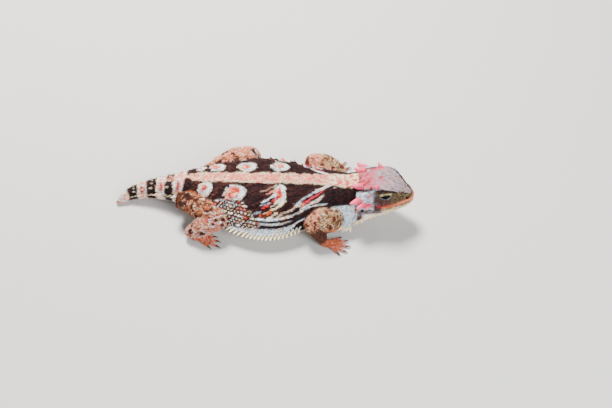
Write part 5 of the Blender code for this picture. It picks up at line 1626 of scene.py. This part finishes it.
class Spines:
    """Gathers the roots, ways, girths and tip colours of one growth of spines."""

    def __init__(self):
        self.roots, self.ways, self.girths, self.colours = [], [], [], []

    def on_hide(self, x, t, side, width, thickness, length, colour, back, rise=0.0, margin=None):
        """A spine at each x and t that leans back, left out where a leg is nearer than the margin."""
        x, t = np.asarray(x, float), np.broadcast_to(np.asarray(t, float), np.shape(x))
        roots, normals = hide_points(x, t, side), hide_normals(x, t, side)
        keep = np.ones(len(x), bool) if margin is None else ~near_limb(roots, margin)
        ways = unit(normals + np.array((-back, 0, rise)))[keep]
        size = [np.broadcast_to(np.asarray(v, float), (len(x),))[keep] for v in (width, thickness, length)]
        self.roots.append(roots[keep] - ways * (COAT_DEPTH + SPINE_SINK))
        self.ways.append(ways)
        self.girths.append(np.stack([size[0] / 2, size[1] / 2, size[2] + SPINE_FOOT], 1))
        self.colours.append(np.tile(colour, (len(ways), 1)))

    def grow(self, name, growth, form, colours, unwrap, finish, blend):
        roots, ways = np.concatenate(self.roots), np.concatenate(self.ways)
        girths, tips = np.concatenate(self.girths), np.concatenate(self.colours)
        index = nearest_index(form.points, roots)
        mesh = mesh_from(name, roots, [])
        store(mesh, "hide", "FLOAT_COLOR", opaque(colours[index] * (1 - blend) + tips * blend))
        store(mesh, "unwrap", "FLOAT2", unwrap[index])
        store(mesh, "way", "FLOAT_VECTOR", ways)
        store(mesh, "girth", "FLOAT_VECTOR", girths * MM)
        store(mesh, "lie", "FLOAT_VECTOR", np.tile((-1.0, 0.0, -0.2), (len(roots), 1)))
        obj = grown(name, mesh, growth, {"Material": finish})
        return obj


# Rows of spines: t, length and width on the back and tail, and x and length on the jaw.
BACK_ROWS = ((0.09, 1.1, 1.1), (0.18, 1.3, 1.2), (0.27, 1.4, 1.3), (0.36, 1.2, 1.2), (0.43, 1.1, 1.1))
BACK_FIRST, BACK_LAST, BACK_STEP = -29.0, 21.0, 5.0
TAIL_ROWS = ((0.09, 1.2, 1.5), (0.27, 1.5, 1.7))
JAW_SPINES = (
    (36.2, 2.4), (37.8, 2.5), (39.4, 2.4), (41.0, 2.2), (42.6, 2.0), (44.2, 1.8), (45.9, 1.6), (47.7, 1.4),
)
JAW_ROWS_T, NECK_ROW_T, TAIL_SIDE_T, FRINGE_UPPER_T = (0.72, 0.70), 0.56, 0.46, 0.475
FRINGE_FIRST, FRINGE_LAST, FRINGE_STEP = -19.5, 17.0, 1.4
# How many small spines stand round each large one of the back, and how far off in x and t.
SMALL_EACH, SMALL_X, SMALL_T = 4, 2.4, 0.045


def make_spines(form, places, colours, unwrap):
    growth = spine_growth()
    # The spines' finish paints shade at their feet and a highlight towards their tips.
    finish = hide_finish("spines", 0.7, 1.3, 0.4, 0.2)
    rng = np.random.default_rng(17)
    made = []
    back = Spines()
    for row, (t, height, width) in enumerate(BACK_ROWS):
        x = np.arange(BACK_FIRST + BACK_STEP * (0.5 if row % 2 else 0.0), BACK_LAST, BACK_STEP)
        for side, _ in SIDES:
            back.on_hide(x, t, side, width, width, height, LEG_ORANGE, 0.6, margin=1.6)
            for _ in range(SMALL_EACH):
                small = x + rng.uniform(-SMALL_X, SMALL_X, len(x))
                around = np.clip(t + rng.uniform(-SMALL_T, SMALL_T, len(x)), 0.08, 0.36)
                back.on_hide(small, around, side, 1.0, 0.9, rng.uniform(0.6, 1.0, len(x)), UMBER, 0.8,
                             margin=1.0)
    made.append(back.grow("back_spines", growth, form, colours, unwrap, finish, 0.03))
    # The fringe of each flank and the small row above it, the neck's row, and the spikes of the jaw.
    fringe = Spines()
    x = stations(FRINGE_FIRST, FRINGE_LAST, FRINGE_STEP)
    middle = 1 - np.abs(2 * (x - x[0]) / (x[-1] - x[0]) - 1)
    size = 0.7 + 0.3 * middle
    for side, _ in SIDES:
        fringe.on_hide(x, EDGE_T, side, 2.3 * size, 1.0 * size, 2.5 * size, CREAM, 0.15, rise=-0.1,
                       margin=0.8)
        fringe.on_hide(x + FRINGE_STEP / 2, FRINGE_UPPER_T, side, 1.5 * size, 0.9 * size, 1.2 * size,
                       CHALK, 0.4, margin=0.8)
    x = stations(NECK_BASE + 1.2, SKULL_BACK - 0.6, 1.1)
    for side, _ in SIDES:
        fringe.on_hide(x, NECK_ROW_T, side, 1.5, 0.95, 2.0 + 0.3 * np.sin(x * 3), CREAM, 0.4, rise=-0.3)
    for x, length in JAW_SPINES:
        for side, _ in SIDES:
            fringe.on_hide([x], JAW_ROWS_T[0], side, 1.9, 1.1, length * 0.8, STRIPE_PALE, 0.7, rise=-0.25)
            fringe.on_hide([x + 0.8], JAW_ROWS_T[1], side, 1.3, 0.8, length * 0.5, CREAM, 0.6, rise=-0.25)
    made.append(fringe.grow("fringe_spines", growth, form, colours, unwrap, finish, 0.92))
    # Two rows along the top of the tail, and one of longer spines at each side.
    tail = Spines()
    for row, (t, height, width) in enumerate(TAIL_ROWS):
        x = stations(TAIL_TIP + 7, TAIL_BASE - 3.4 - row, 3.6)
        size = 0.5 + 0.5 * (x - TAIL_TIP) / (TAIL_BASE - TAIL_TIP)
        for side, _ in SIDES:
            tail.on_hide(x, t, side, width * size, width * size, height * size, CREAM, 0.9)
    x = stations(TAIL_TIP + 3.5, TAIL_BASE - 4.0, 2.3)
    size = 0.45 + 0.55 * (x - TAIL_TIP) / (TAIL_BASE - TAIL_TIP)
    for side, _ in SIDES:
        tail.on_hide(x, TAIL_SIDE_T, side, 1.7 * size, 1.4 * size, 2.5 * size, CREAM, 0.9, rise=0.15)
    made.append(tail.grow("tail_spines", growth, form, colours, unwrap, finish, 0.3))
    return made


# The eyeball's play under its lids, its sides, and the height and width of the clear front's bulge.
EYE_PLAY, EYE_TURNS, BULGE_HEIGHT, BULGE_WIDTH = 0.05, 40, 0.05, 0.4


def make_eyes():
    made, finish = [], eye_finish()
    for side, word in SIDES:
        axes, centre = facing_out(side), eye_centre(side)
        points, faces = ball((0, 0, 0), 1.0, EYE_TURNS)
        points = points[:, [1, 2, 0]]
        gaze = np.arccos(np.clip(points[:, 2], -1, 1)) / (math.pi / 2)
        bulge = 1 + BULGE_HEIGHT * bell(gaze, 0, BULGE_WIDTH)
        reach = (points * bulge[:, None] * (EYE_RADIUS - EYE_PLAY)) @ axes.T
        obj = piece_from(f"eyeball_{word}", centre + reach, faces, finish)
        store(obj.data, "gaze", "FLOAT", np.clip(gaze, 0, 1))
        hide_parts(f"eye_{word}")
        made.append(obj)
    return made


def make_horns():
    made, finish = [], horn_finish()
    u = np.linspace(0, 1, HORN_RINGS)
    for side, word in SIDES:
        for name, x, t, (forward, sideways, up), length, radius in HORNS:
            ahead, left = body_ways(x)
            way = unit(ahead * forward + left * (side * sideways) + np.array((0, 0, up)))
            reach = length + HORN_SINK
            centres = (hide_points(x, t, side)[0] - way * HORN_SINK) + way * (reach * u)[:, None]
            centres = centres + np.array((0, 0, 0.10 * reach)) * (u * u)[:, None]
            radii = radius * np.interp(u, *HORN_TAPER)
            points, faces = tube(centres, radii * (1 + 0.02 * np.sin(u * 40)), HORN_SIDES)
            obj = piece_from(f"horn_sheath_{name}_{word}", points, faces, finish)
            rise = (np.repeat(u, HORN_SIDES) * reach - HORN_SINK) / length
            store(obj.data, "rise", "FLOAT", np.clip(rise, 0, 1))
            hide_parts(f"horn_{name}_{word}")
            made.append(obj)
    return made


def make_claws():
    made, finish = [], claw_finish()
    for limb in LIMBS:
        parts, rises = [], []
        for centres, _, way in toe_paths(limb):
            u = np.linspace(0, 1, CLAW_RINGS)
            path = (centres[-1] - way * CLAW_SINK + way * ((CLAW_LENGTH + CLAW_SINK) * u)[:, None]
                    + np.array((0, 0, CLAW_ARCH)) * np.sin(u * math.pi)[:, None]
                    - np.array((0, 0, CLAW_HOOK)) * (u * u)[:, None])
            parts.append(tube(path, CLAW_RADIUS * np.interp(u, *CLAW_TAPER), CLAW_SIDES))
            rises.append(np.repeat(u, CLAW_SIDES))
        node = f"{'hand' if limb.kind == 'fore' else 'foot'}_{limb.word}"
        obj = piece_from(f"claws_{node}", *joined(parts), finish)
        store(obj.data, "rise", "FLOAT", np.concatenate(rises))
        made.append(obj)
    return made


# The photograph's view: the camera looks forward over the floor and down on the animal's right side.
VIEW_TARGET = np.array((15.4, 2.6, 0.0))
VIEW_DISTANCE = 0.412
VIEW_DROP = math.radians(48.0)
VIEW_LENS = 60.0
FLOOR_HALF, FLOOR_DROP = 1.5, 0.00002


def make_camera():
    camera = placed("camera", bpy.data.cameras.new("camera"))
    target = Vector(to_scene(VIEW_TARGET))
    camera.location = target + Vector((0, -math.cos(VIEW_DROP), math.sin(VIEW_DROP))) * VIEW_DISTANCE
    camera.rotation_euler = (math.pi / 2 - VIEW_DROP, 0, 0)
    camera.data.lens = VIEW_LENS
    camera.data.clip_start = 0.01
    bpy.context.scene.camera = camera


def area_light(name, place, target, size, power, colour=(1, 1, 1)):
    light = bpy.data.lights.new(name, "AREA")
    light.size, light.energy, light.color = size, power, colour
    obj = placed(name, light)
    obj.location = place
    obj.rotation_mode = "QUATERNION"
    obj.rotation_quaternion = (Vector(target) - Vector(place)).to_track_quat("-Z", "Y")


def make_studio():
    corners = np.array([(-1, -1, 0), (1, -1, 0), (1, 1, 0), (-1, 1, 0)]) * FLOOR_HALF
    floor = piece_from("floor", (corners - SHIFT) / MM, [(0, 1, 2, 3)], floor_finish())
    floor.location.z = -FLOOR_DROP
    world = bpy.data.worlds.new("studio")
    world.use_nodes = True
    sky = world.node_tree.nodes["Background"]
    sky.inputs["Color"].default_value, sky.inputs["Strength"].default_value = (0.88, 0.92, 1.0, 1.0), 0.36
    bpy.context.scene.world = world
    area_light("key", (-0.10, 0.28, 0.55), (0, 0, 0.01), 0.20, 12.0, (1.0, 0.97, 0.92))
    area_light("fill", (0.35, -0.45, 0.40), (0, 0, 0.01), 0.28, 4.8, (0.98, 0.99, 1.0))


def main():
    make_camera()
    make_studio()
    form = fused_form()
    places = Places(form.points)
    carve(form, places)
    carve_eyes(form)
    places.points = form.points
    colours = hide_colours(places)
    unwrap = unwrapped(places)
    skin = make_skin(form, places, colours)
    store_zones(skin.data, places)
    pieces = [skin] + make_coats(skin) + make_spines(form, places, colours, unwrap)
    pieces += make_eyes() + make_horns() + make_claws()
    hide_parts(*FLESH)
    drop_helpers(skin.data)
    brighten_bare_skin(skin.data, places, colours)
    for obj in pieces:
        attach(obj, "root")


main()
